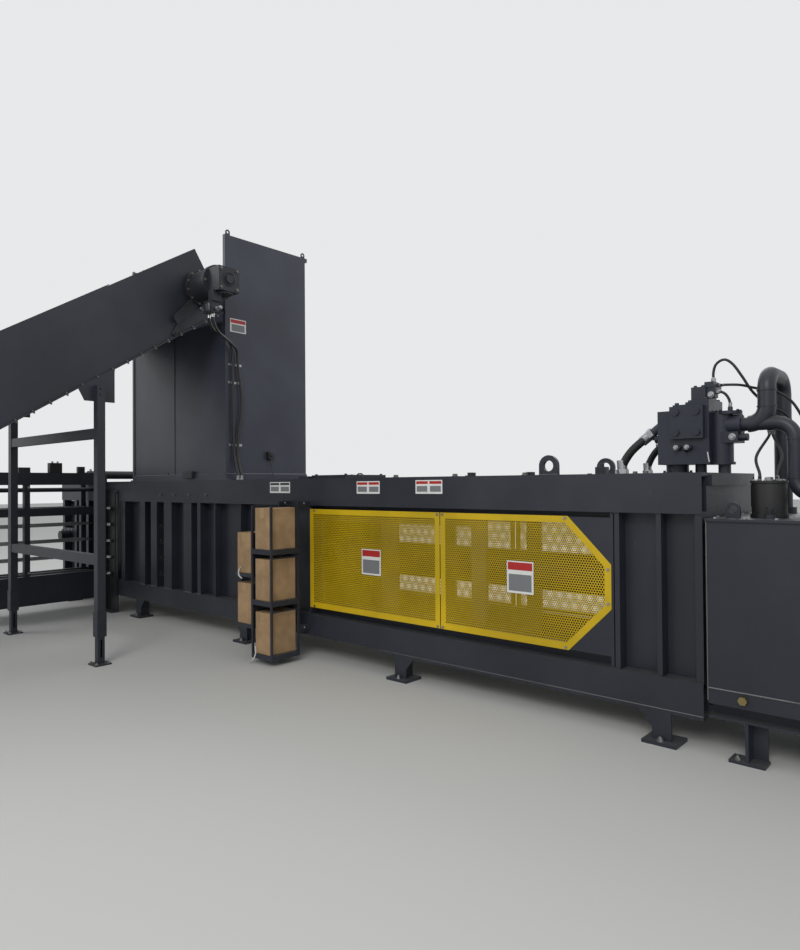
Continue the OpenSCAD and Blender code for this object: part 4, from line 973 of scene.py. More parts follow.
@dataclass
class Guard:
    """One perforated guard: a folded border around a sheet of small hexagon holes."""

    name: str
    node: str
    left: float
    right: float
    cut: float
    side: int
    bottom: float = 0.442
    top: float = 1.290
    border: float = 0.044
    face: float = 0.513
    thick: float = 0.004
    pitch: float = 0.0175
    web: float = 0.0052
    sheet: float = 0.0012

    def inside(self, inset: float) -> tuple[float, float, float, float, float]:
        """The panel's left, right, bottom and top, moved inwards, and what its corners lose there."""
        cut = self.cut + inset * math.tan(math.pi / 8) - inset if self.cut else 0.0
        return self.left + inset, self.right - inset, self.bottom + inset, self.top - inset, cut

    def outline(self, inset: float) -> list[tuple[float, float]]:
        """The panel's corners, moved inwards by inset.

        Args:
            inset: how far inwards, in metres.

        Returns:
            The corners as (x, z) pairs.
        """
        x0, x1, z0, z1, c = self.inside(inset)
        if not self.cut:
            return [(x0, z0), (x1, z0), (x1, z1), (x0, z1)]
        return [(x0, z0), (x1 - c, z0), (x1, z0 + c), (x1, z1 - c), (x1 - c, z1), (x0, z1)]

    def build(self) -> None:
        """Makes the border and the sheet."""
        self._border()
        self._mesh()

    def _border(self) -> None:
        """The solid border with a folded inner lip."""
        outer, inner, lip = self.outline(0), self.outline(self.border), self.outline(self.border - 0.003)
        near, far = self.face, self.face - self.thick
        rings = ((outer, near), (inner, near), (inner, far), (lip, far), (outer, far))
        verts = [(x, self.side * y, z) for ring, y in rings for x, z in ring]
        faces, n = [], len(outer)
        for r in range(len(rings)):
            here, after = r * n, (r + 1) % len(rings) * n
            faces += [(here + k, here + (k + 1) % n, after + (k + 1) % n, after + k) for k in range(n)]
        Shape().solid(verts, faces).piece(self.name + "_border", YELLOW, "guard_yellow", 0.0012, self.node)

    def _mesh(self) -> None:
        """The perforated sheet, one ring of faces around each hole."""
        cells = np.array(self._centres())
        step = self.pitch / math.sqrt(3)
        turns = np.radians(np.arange(6) * 60 + 30)
        corner = np.stack([np.cos(turns), np.sin(turns)], 1)
        outer = cells[:, None, :] + corner[None] * step
        inner = cells[:, None, :] + corner[None] * (step - self.web / math.sqrt(3))
        flat = np.concatenate([outer, inner], 1).reshape(-1, 2)
        n = len(flat)
        depth = self.face - self.thick + 0.0002
        verts = np.concatenate([np.insert(flat, 1, self.side * y, 1) for y in (depth + self.sheet, depth)])
        base = (np.arange(len(cells)) * 12)[:, None]
        k = np.arange(6)[None]
        a, b, c, d = base + k, base + (k + 1) % 6, base + 6 + (k + 1) % 6, base + 6 + k
        front = np.stack([a, b, c, d], -1).reshape(-1, 4)
        back = np.stack([d, c, b, a], -1).reshape(-1, 4) + n
        wall = np.stack([d, c, c + n, d + n], -1).reshape(-1, 4)
        quads = np.concatenate([front, back, wall])
        if self.side > 0:
            quads = quads[:, ::-1]
        mesh = bpy.data.meshes.new(self.name + "_sheet")
        mesh.from_pydata(verts.tolist(), [], quads.tolist())
        merged = bmesh.new()
        merged.from_mesh(mesh)
        bmesh.ops.remove_doubles(merged, verts=merged.verts, dist=0.0001)
        merged.to_mesh(mesh)
        merged.free()
        finish_piece(mesh, self.name + "_sheet", YELLOW, stands_for=self.node)

    def _centres(self) -> list[tuple[float, float]]:
        """Hole centres in a staggered grid that reaches just under the border.

        Returns:
            The centres as (x, z) pairs.
        """
        x0, x1, z0, z1, cut = self.inside(self.border - 0.004)
        rise = self.pitch * math.sqrt(3) / 2
        found = []
        for row in range(int((z1 - z0) / rise) + 1):
            z = z0 + row * rise
            shift = self.pitch / 2 * (row % 2)
            for column in range(int((x1 - x0) / self.pitch) + 1):
                x = x0 + shift + column * self.pitch
                near_edge = min(z - z0, z1 - z)
                if x <= x1 - max(0.0, cut - near_edge):
                    found.append((x, z))
        return found


def guards() -> list[Guard]:
    """The two front guards and their mirror pair on the back.

    Returns:
        The guards, front before back and left before right.
    """
    middle, gap, left, right, cut = 2.292, 0.008, 0.862, 3.614, 0.288
    made = []
    for side, words in ((-1, "front"), (1, "back")):
        nodes = ("left_guard", "right_guard") if side < 0 else ("back_guards", "back_guards")
        made.append(Guard(f"{words}_guard_left", nodes[0], left, middle, 0.0, side))
        made.append(Guard(f"{words}_guard_right", nodes[1], middle + gap, right, cut, side))
    return made


# Signs


@dataclass
class Signs:
    """Blank plates: a white ground with plain fields of colour."""

    guard_y: float = -0.513
    beam_y: float = -0.525
    hopper_x: float = -0.380
    thick: float = 0.0015
    guard_signs: tuple[tuple[float, ...], ...] = ((1.598, 0.878, 0.210, 0.205), (2.974, 0.872, 0.205, 0.215))

    def build(self) -> None:
        """Makes the grounds and their fields."""
        grounds, reds, greys, darks = Shape(), Shape(), Shape(), Shape()
        for x, z, w, h in self.guard_signs:
            self._front(grounds, x, z, w, h, self.guard_y, 0)
            self._front(reds, x, z + 0.34 * h, 0.92 * w, 0.24 * h, self.guard_y, 1)
            self._front(greys, x, z - 0.17 * h, 0.86 * w, 0.52 * h, self.guard_y, 1)
        beam = ((0.469, 1.476, 0.285, 0.099, darks), (1.580, 1.474, 0.255, 0.1, reds),
                (2.205, 1.477, 0.255, 0.102, reds))
        for x, z, w, h, head in beam:
            self._front(grounds, x, z, w, h, self.beam_y, 0)
            for part in (-0.25, 0.25):
                self._front(head, x + part * w, z + 0.32 * h, 0.44 * w, 0.2 * h, self.beam_y, 1)
                self._front(greys, x + part * w, z - 0.14 * h, 0.4 * w, 0.42 * h, self.beam_y, 1)
        x, face, front = self.hopper_x, self.hopper_x + self.thick, self.hopper_x + 0.0023
        grounds.box((x, -0.462, 3.030), (face, -0.272, 3.165))
        reds.box((face, -0.455, 3.122), (front, -0.279, 3.156))
        greys.box((face, -0.445, 3.040), (front, -0.289, 3.108))
        grounds.piece("sign_grounds", WHITE, "sign_white", bevel=0.0005, stands_for="sign_plates")
        reds.piece("sign_red_fields", RED, "sign_white", bevel=0)
        greys.piece("sign_grey_fields", GREY_FIELD, "sign_white", bevel=0)
        darks.piece("sign_dark_fields", DARK_FIELD, "sign_white", bevel=0)

    def _front(self, shape: Shape, x: float, z: float, w: float, h: float, y: float, layer: int) -> None:
        """Adds one flat field on the front; layer 1 lies on layer 0."""
        near = y - self.thick - 0.0008 * layer
        shape.box((x - w / 2, near, z - h / 2), (x + w / 2, y if layer == 0 else y - self.thick, z + h / 2))


# Wire cartons


@dataclass
class Cartons:
    """Five taped cardboard cartons of baling wire on the rack."""

    width: float = 0.196
    depth: float = 0.285
    height: float = 0.345
    left_x: float = 0.394
    right_x: float = 0.646
    front_y: float = -0.939
    right_levels: tuple[float, ...] = (0.092, 0.536, 0.962)
    left_levels: tuple[float, ...] = (0.318, 0.748)
    cells: int = 6
    taper: float = 0.004
    tape_half: float = 0.025
    tape_thick: float = 0.0012

    def build(self) -> None:
        """Makes the cartons and their tape."""
        places = [(self.right_x, z) for z in self.right_levels]
        places += [(self.left_x, z) for z in self.left_levels]
        for number, (x, z) in enumerate(places, 1):
            self._carton(number, x, z)

    def _carton(self, number: int, x: float, z: float) -> None:
        """One carton with slightly bulged faces.

        Args:
            number: its number, which also seeds its random draws.
            x: the place of its left side.
            z: the height of its underside.
        """
        draw = random.Random(40 + number)
        low = Vector((x, self.front_y, z))
        size = Vector((self.width, self.depth, self.height))
        bm = bmesh.new()
        bmesh.ops.create_cube(bm, size=1)
        bmesh.ops.subdivide_edges(bm, edges=bm.edges, cuts=self.cells, use_grid_fill=True)
        swell = [draw.uniform(0.0, 0.004) for _ in range(3)]
        for vert in bm.verts:
            unit = Vector(vert.co)
            for i in range(3):
                span = size[i] - (2 * self.taper if i < 2 else 0)
                if i < 2 and abs(unit[i]) > 0.499:
                    crown = math.prod(math.cos(math.pi * unit[j]) for j in range(3) if j != i)
                    span += 2 * swell[i] * max(crown, 0)
                vert.co[i] = unit[i] * span
            vert.co += low + size / 2
        mesh = bpy.data.meshes.new("carton")
        bm.to_mesh(mesh)
        bm.free()
        name = f"carton_{number}"
        finish_piece(mesh, name, KRAFT, bevel=0.003, stands_for="wire_cartons", angle=40)
        tape = Shape()
        near, far = self.front_y + 0.0028, self.front_y + self.depth - self.taper
        left, right = (x + self.width / 2 + way * self.tape_half for way in SIDES)
        top, thick = z + self.height, self.tape_thick
        drop = draw.uniform(0.06, 0.11)
        tape.box((left, near, top), (right, far, top + thick))
        tape.box((left, near - thick, top - drop), (right, near + 0.002, top + 0.001))
        tape.piece(name + "_tape", TAPE, "kraft_card", bevel=0.0004)


# Bolts, beads and fittings


def stud(shape: Shape, foot: Point, way: Point, size: float) -> None:
    """Adds a nut with its washer and a stub of thread, pointing any way.

    Args:
        shape: the shape to add to.
        foot: the point under the washer.
        way: unit vector that the thread points along.
        size: radius over the nut's corners.
    """
    start, ahead = Vector(foot), Vector(way)
    for low, high, radius, sides in ((0.0, 0.2, 1.25, 18), (0.2, 1.0, 1.0, 6), (1.0, 1.5, 0.55, 12)):
        ends = [tuple(start + ahead * size * along) for along in (low, high)]
        shape.tube(ends, radius * size, sides)


@dataclass
class BodyDetails:
    """Anchors, bolts, weld beads and wire eyes of the baler's body."""

    half_width: float = 0.525
    deck: float = 1.553
    rail_top: float = 0.38
    beam_low: float = 1.318
    wall: float = 0.425
    rib_face: float = 0.513
    foot_xs: tuple[float, ...] = (3.915, 1.91, -0.095, -2.1, -3.915)
    leg_xs: tuple[float, ...] = (-2.26, -0.34)
    leg_ys: tuple[float, ...] = (-1.8, -4.0)
    skid_xs: tuple[float, ...] = (4.326, 5.534)
    needle_foot_xs: tuple[float, ...] = (-3.445, -2.915)
    ribs: tuple[tuple[float, float], ...] = (
        (-2.025, 0.110), (-1.775, 0.130), (-1.480, 0.160), (-1.085, 0.150), (-0.870, 0.060), (-0.580, 0.014),
        (-0.150, 0.014), (3.652, 0.031), (3.906, 0.029))
    narrow_rib: float = 0.05
    rib_bead: float = 0.0038
    lug_xs: tuple[float, ...] = (3.15, -3.65)
    sole_ends: tuple[float, float] = (1.702, 4.148)
    beam_bolts: tuple[tuple[float, float], ...] = (
        (-1.597, 1.398), (-1.328, 1.400), (-1.034, 1.401), (-0.718, 1.403))
    deck_bolts: tuple[float, ...] = (1.831, 2.407, 2.993)
    base_bolts: tuple[float, ...] = (3.723, 3.791)
    column_bolts: tuple[float, ...] = (1.244, 1.036, 0.840, 0.643, 0.447)
    cover_bolts: tuple[float, ...] = (0.26, 0.68, 1.1, 1.5)
    eye_levels: tuple[float, ...] = (1.055, 0.889, 0.700, 0.536)

    def build(self) -> None:
        """Makes every small fitting of the body."""
        self._anchors()
        self._beads()
        self._bolts()
        self._wire_eyes()
        self._deck_items()

    def _anchors(self) -> None:
        """Anchor nuts on the foot plates of the body, the legs, the tank and the needle frame."""
        nuts = Shape()
        spots = [((x, side * 0.545, 0.02), 0.017) for x in self.foot_xs for side in SIDES]
        spots += [((x + dx, y + dy, 0.012), 0.011)
                  for x in self.leg_xs for y in self.leg_ys for dx, dy in square(0.052)]
        spots += [((x, side * 0.53, 0.016), 0.015) for x in self.skid_xs for side in SIDES]
        spots += [((x, -1.9, 0.014), 0.009) for x in self.needle_foot_xs]
        for foot, size in spots:
            stud(nuts, foot, UP, size)
        nuts.piece("anchor_nuts", ZINC, "bright_steel", bevel=0)

    def _beads(self) -> None:
        """Weld beads at the ribs' feet and heads, around the lifting lugs and along the sole strips."""
        beads = Shape()
        seed = 3
        for x, width in self.ribs:
            for side in SIDES:
                for z in (self.rail_top + 0.002, self.beam_low):
                    seed += 1
                    if width > self.narrow_rib:
                        front = side * (self.rib_face + 0.0015)
                        beads.bead([(x + way * width / 2, front, z) for way in SIDES], self.rib_bead, seed)
                    left = x - width / 2 - 0.003
                    reach = (self.rib_face - 0.005, self.wall + 0.005)
                    beads.bead([(left, side * y, z) for y in reach], self.rib_bead, seed)
        for x in self.lug_xs:
            for side in SIDES:
                for offset in (-0.014, 0.014):
                    y, z = side * self.wall + offset, self.deck + 0.002
                    beads.bead([(x - 0.07, y, z), (x + 0.07, y, z)], 0.004, seed + 7)
        for side in SIDES:
            beads.bead([(x, side * (self.half_width + 0.0012), 0.199) for x in self.sole_ends], 0.0028, 11)
        beads.piece("body_weld_beads", WELD, "graphite_paint", bevel=0)

    def _bolts(self) -> None:
        """Bolts on the top beams, the deck, the guide column and the tier cover."""
        bolts = Shape()
        for side in SIDES:
            bolts.bolts(Axis.Y, [(x, side * self.half_width, z) for x, z in self.beam_bolts], side, 0.014)
            bolts.bolts(Axis.Z, [(x, side * 0.47, self.deck) for x in self.deck_bolts], 1, 0.02)
        bolts.bolts(Axis.Z, [(x, -0.4, self.deck) for x in self.base_bolts], 1, 0.015)
        bolts.bolts(Axis.Y, [(-2.805, -0.533, z) for z in self.column_bolts], -1, 0.012)
        bolts.bolts(Axis.Y, [(x, 0.625, z) for x in (-3.375, -2.985) for z in self.cover_bolts], 1, 0.011)
        bolts.piece("body_bolts", BARE, "bare_steel", bevel=0)

    def _wire_eyes(self) -> None:
        """Small round eyes on the side of the press chamber."""
        eyes = Shape()
        x, y = -1.6, -self.rib_face
        for z in self.eye_levels:
            eyes.ring(Axis.X, (x, y, z), 0.02, 0.005, 24, 8)
            eyes.box((x - 0.006, y, z - 0.03), (x + 0.006, -self.wall - 0.002, z - 0.018))
        eyes.piece("wire_eyes", DARK, "dark_paint", bevel=0.0008)

    def _deck_items(self) -> None:
        """Small blocks, knobs and a handle along the deck's edges."""
        items = Shape()
        for x, height in ((2.506, 0.026), (2.992, 0.022)):
            items.box((x, -0.455, self.deck), (x + 0.04, -0.405, self.deck + height))
        low, top = self.deck, 1.587
        loop = ((1.36, low), (1.36, 1.58), (1.37, top), (1.41, top), (1.42, 1.58), (1.42, low))
        items.tube([(x, -0.425, z) for x, z in loop], 0.006)
        items.box((3.196, 0.145, self.deck), (3.276, 0.205, 1.612))
        items.box((-1.104, -0.557, 1.575), (-0.932, -self.half_width, 1.648))
        for x, y, z0, z1 in ((3.236, 0.175, 1.612, 1.638), (-1.462, -0.505, 1.613, 1.640)):
            items.rod(Axis.Z, (x, y, 0), z0, z1, 0.016)
        items.piece("deck_items", DARK, "dark_paint", bevel=0.002)


@dataclass
class HopperDetails:
    """Weld beads, photo-eye and hose clamps of the hopper."""

    left: float = -2.22
    right: float = -0.38
    half_depth: float = 0.515
    sill_top: float = 1.613
    eye_y: float = 0.012
    clamps: tuple[tuple[float, float], ...] = ((-0.452, 2.52), (-0.448, 1.90), (-0.451, 2.70))

    def build(self) -> None:
        """Makes the beads, the clamps and the photo-eye with its cable."""
        beads = Shape()
        y, z = self.half_depth + 0.003, self.sill_top + 0.002
        x0, x1 = self.left - 0.003, self.right + 0.003
        corners = [(x0, -y, z), (x1, -y, z), (x1, y, z), (x0, y, z)]
        for k in range(4):
            beads.bead([corners[k], corners[(k + 1) % 4]], 0.0035, 20 + k)
        beads.piece("hopper_weld_beads", WELD, "graphite_paint", bevel=0)
        self._photo_eye()
        self._clamps()

    def _photo_eye(self) -> None:
        """The housing that looks across the hopper, and its cable down to the deck."""
        eye = Shape()
        x, y = self.right + 0.022, self.eye_y
        eye.box((self.right, y - 0.034, 1.765), (self.right + 0.045, y + 0.034, 1.845))
        eye.rod(Axis.X, (self.right, y, 1.812), 0.045, 0.056, 0.020)
        eye.rod(Axis.Z, (x, y, 0), 1.744, 1.766, 0.009)
        housing = eye.piece("photo_eye", BLACK, "black_plastic", bevel=0.003)
        lead = ((0, 0, 1.746), (0.004, 0.004, 1.70), (0.012, 0.012, 1.64), (0.02, 0.018, 1.60),
                (0.024, 0.02, 1.566))
        route = smooth_path([(x + dx, y + dy, z) for dx, dy, z in lead], 24)
        cable = Shape().tube(route, 0.004, 10).piece("photo_eye_cable", BLACK, "black_plastic", bevel=0)

    def _clamps(self) -> None:
        """Saddles that hold the two drive hoses to the hopper's side."""
        clamps = Shape()
        face = self.right + 0.004
        for y, z in self.clamps:
            clamps.box((self.right, y - 0.034, z - 0.012), (face, y + 0.12, z + 0.012))
            clamps.bolt(Axis.X, (face, y - 0.025, z), 1, 0.008)
        clamps.piece("hose_clamps", ZINC, "bright_steel", bevel=0.0006)


@dataclass
class ConveyorDetails:
    """Flange bolts, bearing bolts and the flat bar of the conveyor."""

    slope: float = math.radians(32.1)
    bolt_pitch: float = 0.155
    slope_length: float = 5.6
    first_bolt: float = 2.30
    level_bolts: int = 11
    flange_xs: tuple[float, ...] = (-0.39, -2.21)
    head: tuple[float, float] = (-0.8052, 3.3797)
    tail: tuple[float, float] = (-7.0934, 0.349)

    def on_slope(self, x: float, along: float, square_off: float) -> Point:
        """The point at a distance along the slope and square to it."""
        c, s = math.cos(self.slope), math.sin(self.slope)
        return x, -2.55 + along * c - square_off * s, 1.944 + along * s + square_off * c

    def build(self) -> None:
        """Makes the bolts and the bar."""
        up = (0.0, -math.sin(self.slope), math.cos(self.slope))
        down = (0.0, -up[1], -up[2])
        bolts = Shape()
        for x in self.flange_xs:
            for k in range(int(self.slope_length / self.bolt_pitch)):
                along = self.first_bolt - k * self.bolt_pitch
                stud(bolts, self.on_slope(x, along, 0.0), down, 0.010)
                stud(bolts, self.on_slope(x, along, 0.008), up, 0.008)
            for k in range(self.level_bolts):
                stud(bolts, (x, -5.7 - self.bolt_pitch * k, 0.068), UP, 0.008)
        bolts.piece("flange_bolts", BARE, "bare_steel", bevel=0)
        self._bearing_bolts()
        self._bar()

    def _bearing_bolts(self) -> None:
        """Four bolts on the face of each shaft bearing."""
        bolts = Shape()
        left, right = -2.239, -0.361
        for x, way, (y, z) in ((left, -1, self.head), (left, -1, self.tail), (right, 1, self.tail)):
            bolts.bolts(Axis.X, [(x, y + dy, z + dz) for dy, dz in circle(4, 0.066, 0.5)], way, 0.011)
        bolts.piece("bearing_bolts", BARE, "bare_steel", bevel=0)

    @staticmethod
    def _bar() -> None:
        """Flat bar bolted to the outside of the panel beside the drive."""
        bar = Shape()
        top, low, half_wide, face = Vector((-0.932, 3.153)), Vector((-1.069, 2.895)), 0.026, -0.385
        run = (low - top).normalized()
        side = Vector((-run.y, run.x)) * half_wide
        outline = [tuple(top + side), tuple(low + side), tuple(low - side), tuple(top - side)]
        bar.prism(Axis.X, outline, face - 0.02, face)
        spots = (top + run * 0.03, low - run * 0.03)
        bar.bolts(Axis.X, [(face, spot.x, spot.y) for spot in spots], 1, 0.014)
        bar.piece("panel_bar", DARK, "dark_paint", bevel=0.0015)


@dataclass
class DriveDetails:
    """Bolts, port adapter and fittings of the conveyor's drive."""

    y: float = -0.8052
    z: float = 3.3797
    disc_x: float = -0.321
    gear_x: float = -0.061
    end_x: float = 0.105
    pipe_y: float = -0.89
    pipes: tuple[tuple[float, float, float], ...] = ((-0.235, -0.1215, 3.150), (0.0135, 0.105, 3.110))

    def build(self) -> None:
        """Makes the bolt circles, the rims and the port adapter with its pipes."""
        bolts = Shape()
        rows = ((self.disc_x, circle(12, 0.16, 0.5), 0.010), (self.gear_x, circle(4, 0.142), 0.013),
                (self.end_x, square(0.086), 0.013))
        for x, spots, size in rows:
            bolts.bolts(Axis.X, [(x, self.y + dy, self.z + dz) for dy, dz in spots], 1, size)
        bolts.piece("drive_bolts", BARE, "bare_steel", bevel=0)
        rim = Shape()
        for radius, thick in ((0.062, 0.005), (0.048, 0.004)):
            rim.ring(Axis.X, (self.end_x + 0.002, self.y, self.z), radius, thick, 36, 8)
        x, low = 0.022, self.z - 0.128
        rim.rod(Axis.Z, (x, self.y, 0), low, low + 0.017, 0.078, 32)
        rim.bolts(Axis.Z, [(x + dx, self.y + dy, low) for dx, dy in circle(6, 0.064)], -1, 0.008)
        rim.piece("drive_rims", DARK, "dark_paint", bevel=0.001)
        adapter = Shape().box((-0.085, -0.9335, 3.098), (-0.026, -0.9255, 3.164))
        for x0, x1, z in self.pipes:
            adapter.rod(Axis.X, (0, self.pipe_y, z), x0, x1, 0.012, 16)
            for x in (x0 + 0.02, x1 - 0.02):
                adapter.tube([(x - 0.011, self.pipe_y, z), (x + 0.011, self.pipe_y, z)], 0.019, 6)
        adapter.piece("port_adapter", ZINC, "bright_steel", bevel=0.0015)


@dataclass
class ValveDetails:
    """Sockets, plugs, silver fittings and the knob of the prefill valve."""

    plate_x: float = 3.948
    plate_z: float = 1.866
    plug_z: float = 1.712
    block_top: float = 1.979
    step_top: float = 2.003
    cap_top: float = 2.081

    def build(self) -> None:
        """Makes the small parts of the valve."""
        self._sockets()
        self._screws()
        tie = Shape().tube([(4.062, -0.1315, 1.68), (4.066, -0.133, 1.655), (4.072, -0.132, 1.62)], 0.004, 8)
        tie.piece("white_tie", WHITE_CABLE, "sign_white", bevel=0)

    def _sockets(self) -> None:
        """Hexagon sockets of the cover plate, the knob, and the silver plugs and nuts."""
        dark, silver = Shape(), Shape()
        for dx, dz in square(0.062, 0.063):
            x, z = self.plate_x + dx, self.plate_z + dz
            dark.tube([(x, -0.1838, z), (x, -0.1846, z)], 0.010, 6)
        dark.rod(Axis.X, (3.757, -0.10, 1.772), -0.024, 0.0, 0.024, 24)
        dark.piece("valve_sockets", BLACK, "dark_paint", bevel=0.0005)
        for x in (3.89, 3.955):
            silver.tube([(x, -0.166, self.plug_z), (x, -0.186, self.plug_z)], 0.017, 6)
            silver.rod(Axis.Y, (x, 0, self.plug_z), -0.196, -0.186, 0.011, 16)
        silver.tube([(4.1, -0.075, 2.048), (4.122, -0.075, 2.048)], 0.015, 6)
        silver.tube([(4.08, -0.06, 2.11), (4.08, -0.06, 2.132)], 0.015, 6)
        silver.bolt(Axis.Y, (4.075, -0.1, 2.030), -1, 0.016)
        silver.bolt(Axis.Y, (4.185, -0.07, 1.770), -1, 0.017)
        silver.piece("valve_fittings", ZINC, "bright_steel", bevel=0.0008)

    def _screws(self) -> None:
        """Screw heads on the stepped blocks, the stem's flange and the foot."""
        screws = Shape()
        spots = [(x, y, self.block_top, 0.014, 0.013) for x in (3.875, 3.94) for y in (-0.112, 0.112)]
        spots += [(x, y, self.step_top, 0.014, 0.013) for x in (4.005, 4.05) for y in (-0.112, 0.112)]
        spots += [(x, y, self.cap_top, 0.011, 0.010) for x in (3.985, 4.03) for y in (-0.10, 0.07)]
        for x, y, z, high, radius in spots:
            screws.rod(Axis.Z, (x, y, 0), z, z + high, radius, 20)
        for x, radius, z0, z1 in ((4.145, 0.066, 1.929, 1.938), (3.835, 0.079, 1.563, 1.574)):
            for dx, dy in circle(8, radius, 0.5):
                screws.rod(Axis.Z, (x + dx, dy, 0), z0, z1, 0.008, 16)
        screws.piece("valve_screws", VALVE_GREY, "dark_paint", bevel=0.0008)


@dataclass
class PowerDetails:
    """Screws, beads, filter trim and motor fittings of the power unit."""

    left: float = 4.176
    right: float = 5.796
    half_width: float = 0.556
    lid_top: float = 1.299
    shaft_z: float = 1.56
    fan_x: float = 5.7105
    edge: float = 0.02
    filter_spot: tuple[float, float] = (4.44, -0.3)
    cap_spot: tuple[float, float] = (4.473, -0.425)

    def build(self) -> None:
        """Makes the small parts of the tank, the pump and the motor."""
        self._lid_screws()
        self._beads()
        self._filter()
        self._motor()

    def _lid_screws(self) -> None:
        """Screws along the lid's edge, on the riser's flange and on the pipe's foot plate."""
        screws = Shape()
        top, deep = self.lid_top, self.half_width - self.edge
        long_row = [self.left + 0.05 + k * (self.right - self.left - 0.1) / 10 for k in range(11)]
        short_row = [-deep + k * 2 * deep / 7 for k in range(1, 7)]
        screws.bolts(Axis.Z, [(x, side * deep, top) for x in long_row for side in SIDES], 1, 0.010)
        ends = (self.left + self.edge, self.right - self.edge)
        screws.bolts(Axis.Z, [(x, y, top) for y in short_row for x in ends], 1, 0.010)
        screws.bolts(Axis.Z, [(4.59 + dx, 0.37 + dy, top + 0.04) for dx, dy in circle(6, 0.062)], 1, 0.008)
        screws.bolts(Axis.Z, [(4.78 + dx, -0.36 + dy, top + 0.024) for dx, dy in square(0.09)], 1, 0.010)
        screws.piece("lid_screws", ZINC, "bright_steel", bevel=0)

    @staticmethod
    def _beads() -> None:
        """Weld bead along the seam near the tank's bottom and up its corners."""
        beads = Shape()
        for side in SIDES:
            beads.bead([(x, side * 0.5415, 0.375) for x in (4.182, 5.778)], 0.0045, 31)
        for x in (4.179, 5.781):
            for y in (-0.541, 0.541):
                beads.bead([(x, y, 0.305), (x, y, 1.283)], 0.0035, 33)
        beads.piece("tank_weld_beads", WELD, "graphite_paint", bevel=0)

    def _filter(self) -> None:
        """Clamp ring and cover nuts of the filter, and the ribbed filler cap."""
        trim = Shape()
        x, y = self.filter_spot
        cap_x, cap_y = self.cap_spot
        trim.ring(Axis.Z, (x, y, 1.494), 0.0935, 0.0035, 40, 8)
        for dx, dy in circle(24, 0.0275):
            trim.rod(Axis.Z, (cap_x + dx, cap_y + dy, 0), 1.325, 1.349, 0.003, 8)
        trim.rod(Axis.Z, (cap_x, cap_y, 0), 1.350, 1.362, 0.020, 24)
        trim.piece("filter_trim", BLACK, "black_plastic", bevel=0.0006)
        nuts = Shape().bolt(Axis.Z, (x, y, 1.504), 1, 0.022)
        nuts.bolts(Axis.Z, [(x + dx, y + dy, 1.504) for dx, dy in circle(6, 0.078, 0.5)], 1, 0.008)
        nuts.piece("filter_nuts", ZINC, "bright_steel", bevel=0)

    def _motor(self) -> None:
        """Grille of the motor's fan, its lifting ring and box screws, foot bolts and the pump's bolts."""
        grille = Shape()
        for k in range(6):
            grille.ring(Axis.X, (self.fan_x, 0, self.shaft_z), 0.03 + 0.026 * k, 0.0022, 40, 6)
        for dy, dz in circle(8, 0.165)[:4]:
            grille.tube([(self.fan_x, way * dy, self.shaft_z + way * dz) for way in SIDES], 0.0022, 6)
        grille.piece("motor_grille", DARK, "dark_paint", bevel=0)
        bolts = Shape()
        ring = circle(8, 0.135, 0.5)
        bolts.bolts(Axis.X, [(5.12, dy, self.shaft_z + dz) for dy, dz in ring], -1, 0.012)
        for x, half_x, half_y, z, size in ((5.405, 0.075, 0.08, self.shaft_z + 0.26, 0.008),
                                           (5.45, 0.115, 0.19, self.lid_top + 0.012, 0.012)):
            bolts.bolts(Axis.Z, [(x + dx, dy, z) for dx, dy in square(half_x, half_y)], 1, size)
        bolts.ring(Axis.Y, (5.58, 0, self.shaft_z + 0.205), 0.022, 0.006, 24, 10)
        bolts.piece("motor_bolts", ZINC, "bright_steel", bevel=0)


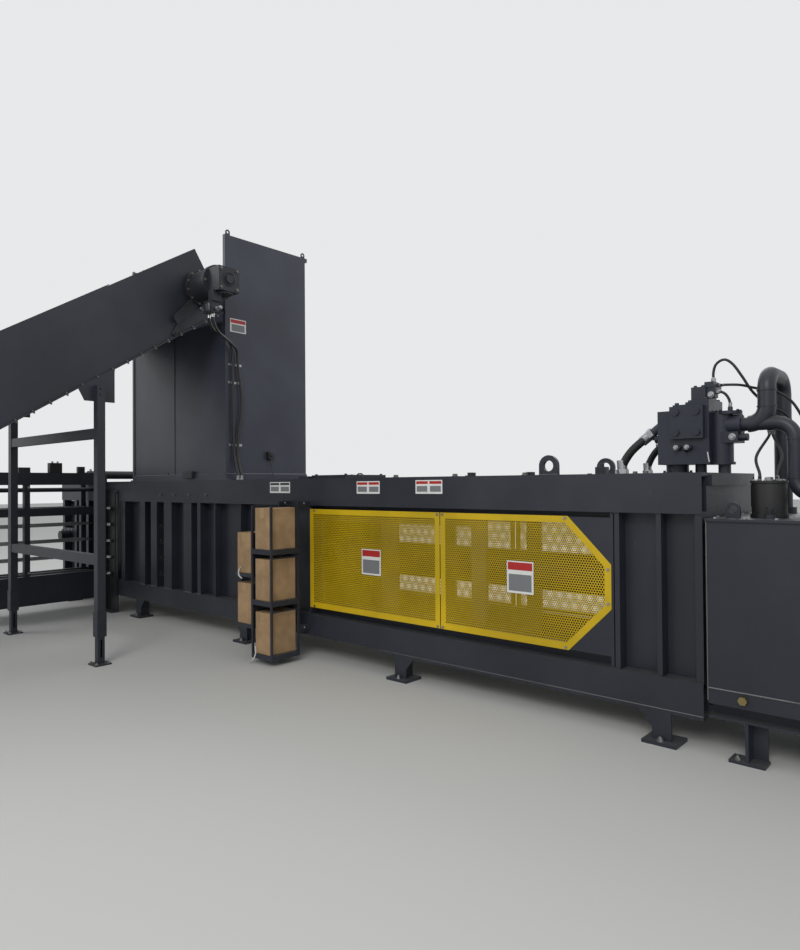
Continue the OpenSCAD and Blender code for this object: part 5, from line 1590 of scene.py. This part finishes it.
@dataclass
class TyingDetails:
    """Boxes, ports and studs of the tying unit."""

    frame_top: float = 1.66
    carriage_x: float = -3.18
    pad_x: float = -3.91
    frame_face: float = -2.93

    def build(self) -> None:
        """Makes the boxes on the needle frame and the ports of the small cylinders."""
        boxes = Shape()
        for x0, x1, y0, y1, high in (
                (-3.0, -2.925, -1.17, -1.03, 0.115), (-2.99, -2.935, -0.84, -0.76, 0.075),
                (-3.42, -3.36, -1.35, -1.22, 0.07)):
            boxes.box((x0, y0, self.frame_top), (x1, y1, self.frame_top + high))
        boxes.piece("unit_boxes", BLACK, "black_plastic", bevel=0.004)
        ports = Shape()
        for x, y, z0, z1, radius in (
                (-2.96, -1.13, 1.775, 1.795, 0.011), (-2.96, -1.07, 1.775, 1.795, 0.011),
                (self.carriage_x, -0.58, 1.688, 1.715, 0.014), (self.carriage_x, 0.56, 1.688, 1.715, 0.014),
                (self.pad_x, -0.62, 0.918, 0.945, 0.013), (self.pad_x, 0.62, 0.918, 0.945, 0.013)):
            ports.rod(Axis.Z, (x, y, 0), z0, z1, radius, 16)
        for side in SIDES:
            spots = [(self.pad_x + dx, side * 0.513, 0.862 + dz) for dx, dz in square(0.05, 0.07)]
            ports.bolts(Axis.Y, spots, side, 0.010)
        spots = [(self.frame_face, y, z) for y in (-1.91, -1.40, -0.57) for z in (0.52, 1.49)]
        ports.bolts(Axis.X, spots, 1, 0.012)
        ports.piece("unit_fittings", ZINC, "bright_steel", bevel=0)


@dataclass
class RackDetails:
    """Bracket bolts of the wire rack and the loose ends of packing strap."""

    strap_half: float = 0.009
    strap_thick: float = 0.0008
    ends: tuple[tuple[Point, ...], ...] = (
        ((0.655, -0.9415, 0.15), (0.662, -0.945, 0.09), (0.640, -0.955, 0.04), (0.590, -0.972, 0.006)),
        ((0.455, -0.9415, 0.80), (0.430, -0.946, 0.765), (0.436, -0.948, 0.725), (0.470, -0.9425, 0.70)))

    def build(self) -> None:
        """Makes the bolts and the straps."""
        spots = [(x, -0.59, z) for x in (0.622, 0.876) for z in (0.28, 1.341)]
        Shape().bolts(Axis.X, spots, 1, 0.008).piece("rack_bolts", ZINC, "bright_steel", bevel=0)
        for number, route in enumerate(self.ends, 1):
            self._strap(number, smooth_path(route, 18))

    def _strap(self, number: int, path: list[Point]) -> None:
        """One flat loose end of strap along a path.

        Args:
            number: its number in the piece's name.
            path: the smooth points it follows.
        """
        strap = Shape()
        verts: list[Point] = []
        for x, y, z in path:
            left, right = (x - self.strap_half, z - 0.003), (x + self.strap_half, z + 0.003)
            ring = ((left, 0), (right, 0), (right, self.strap_thick), (left, self.strap_thick))
            verts += [(a, y - b, c) for (a, c), b in ring]
        strap.solid(verts, sleeve(len(path), 4))
        strap.piece(f"strap_end_{number}", WHITE_CABLE, "sign_white", bevel=0)


# The run


def main() -> None:
    """Builds the studio and each sub-assembly in order."""
    logging.basicConfig(level=logging.INFO, format="%(message)s")
    Studio().build()
    dress_frame()
    parts = [Hoses(), *guards(), Signs(), Cartons(), BodyDetails(), HopperDetails(), ConveyorDetails(),
             DriveDetails(), ValveDetails(), PowerDetails(), TyingDetails(), RackDetails()]
    for part in parts:
        part.build()


if __name__ == "__main__":
    main()
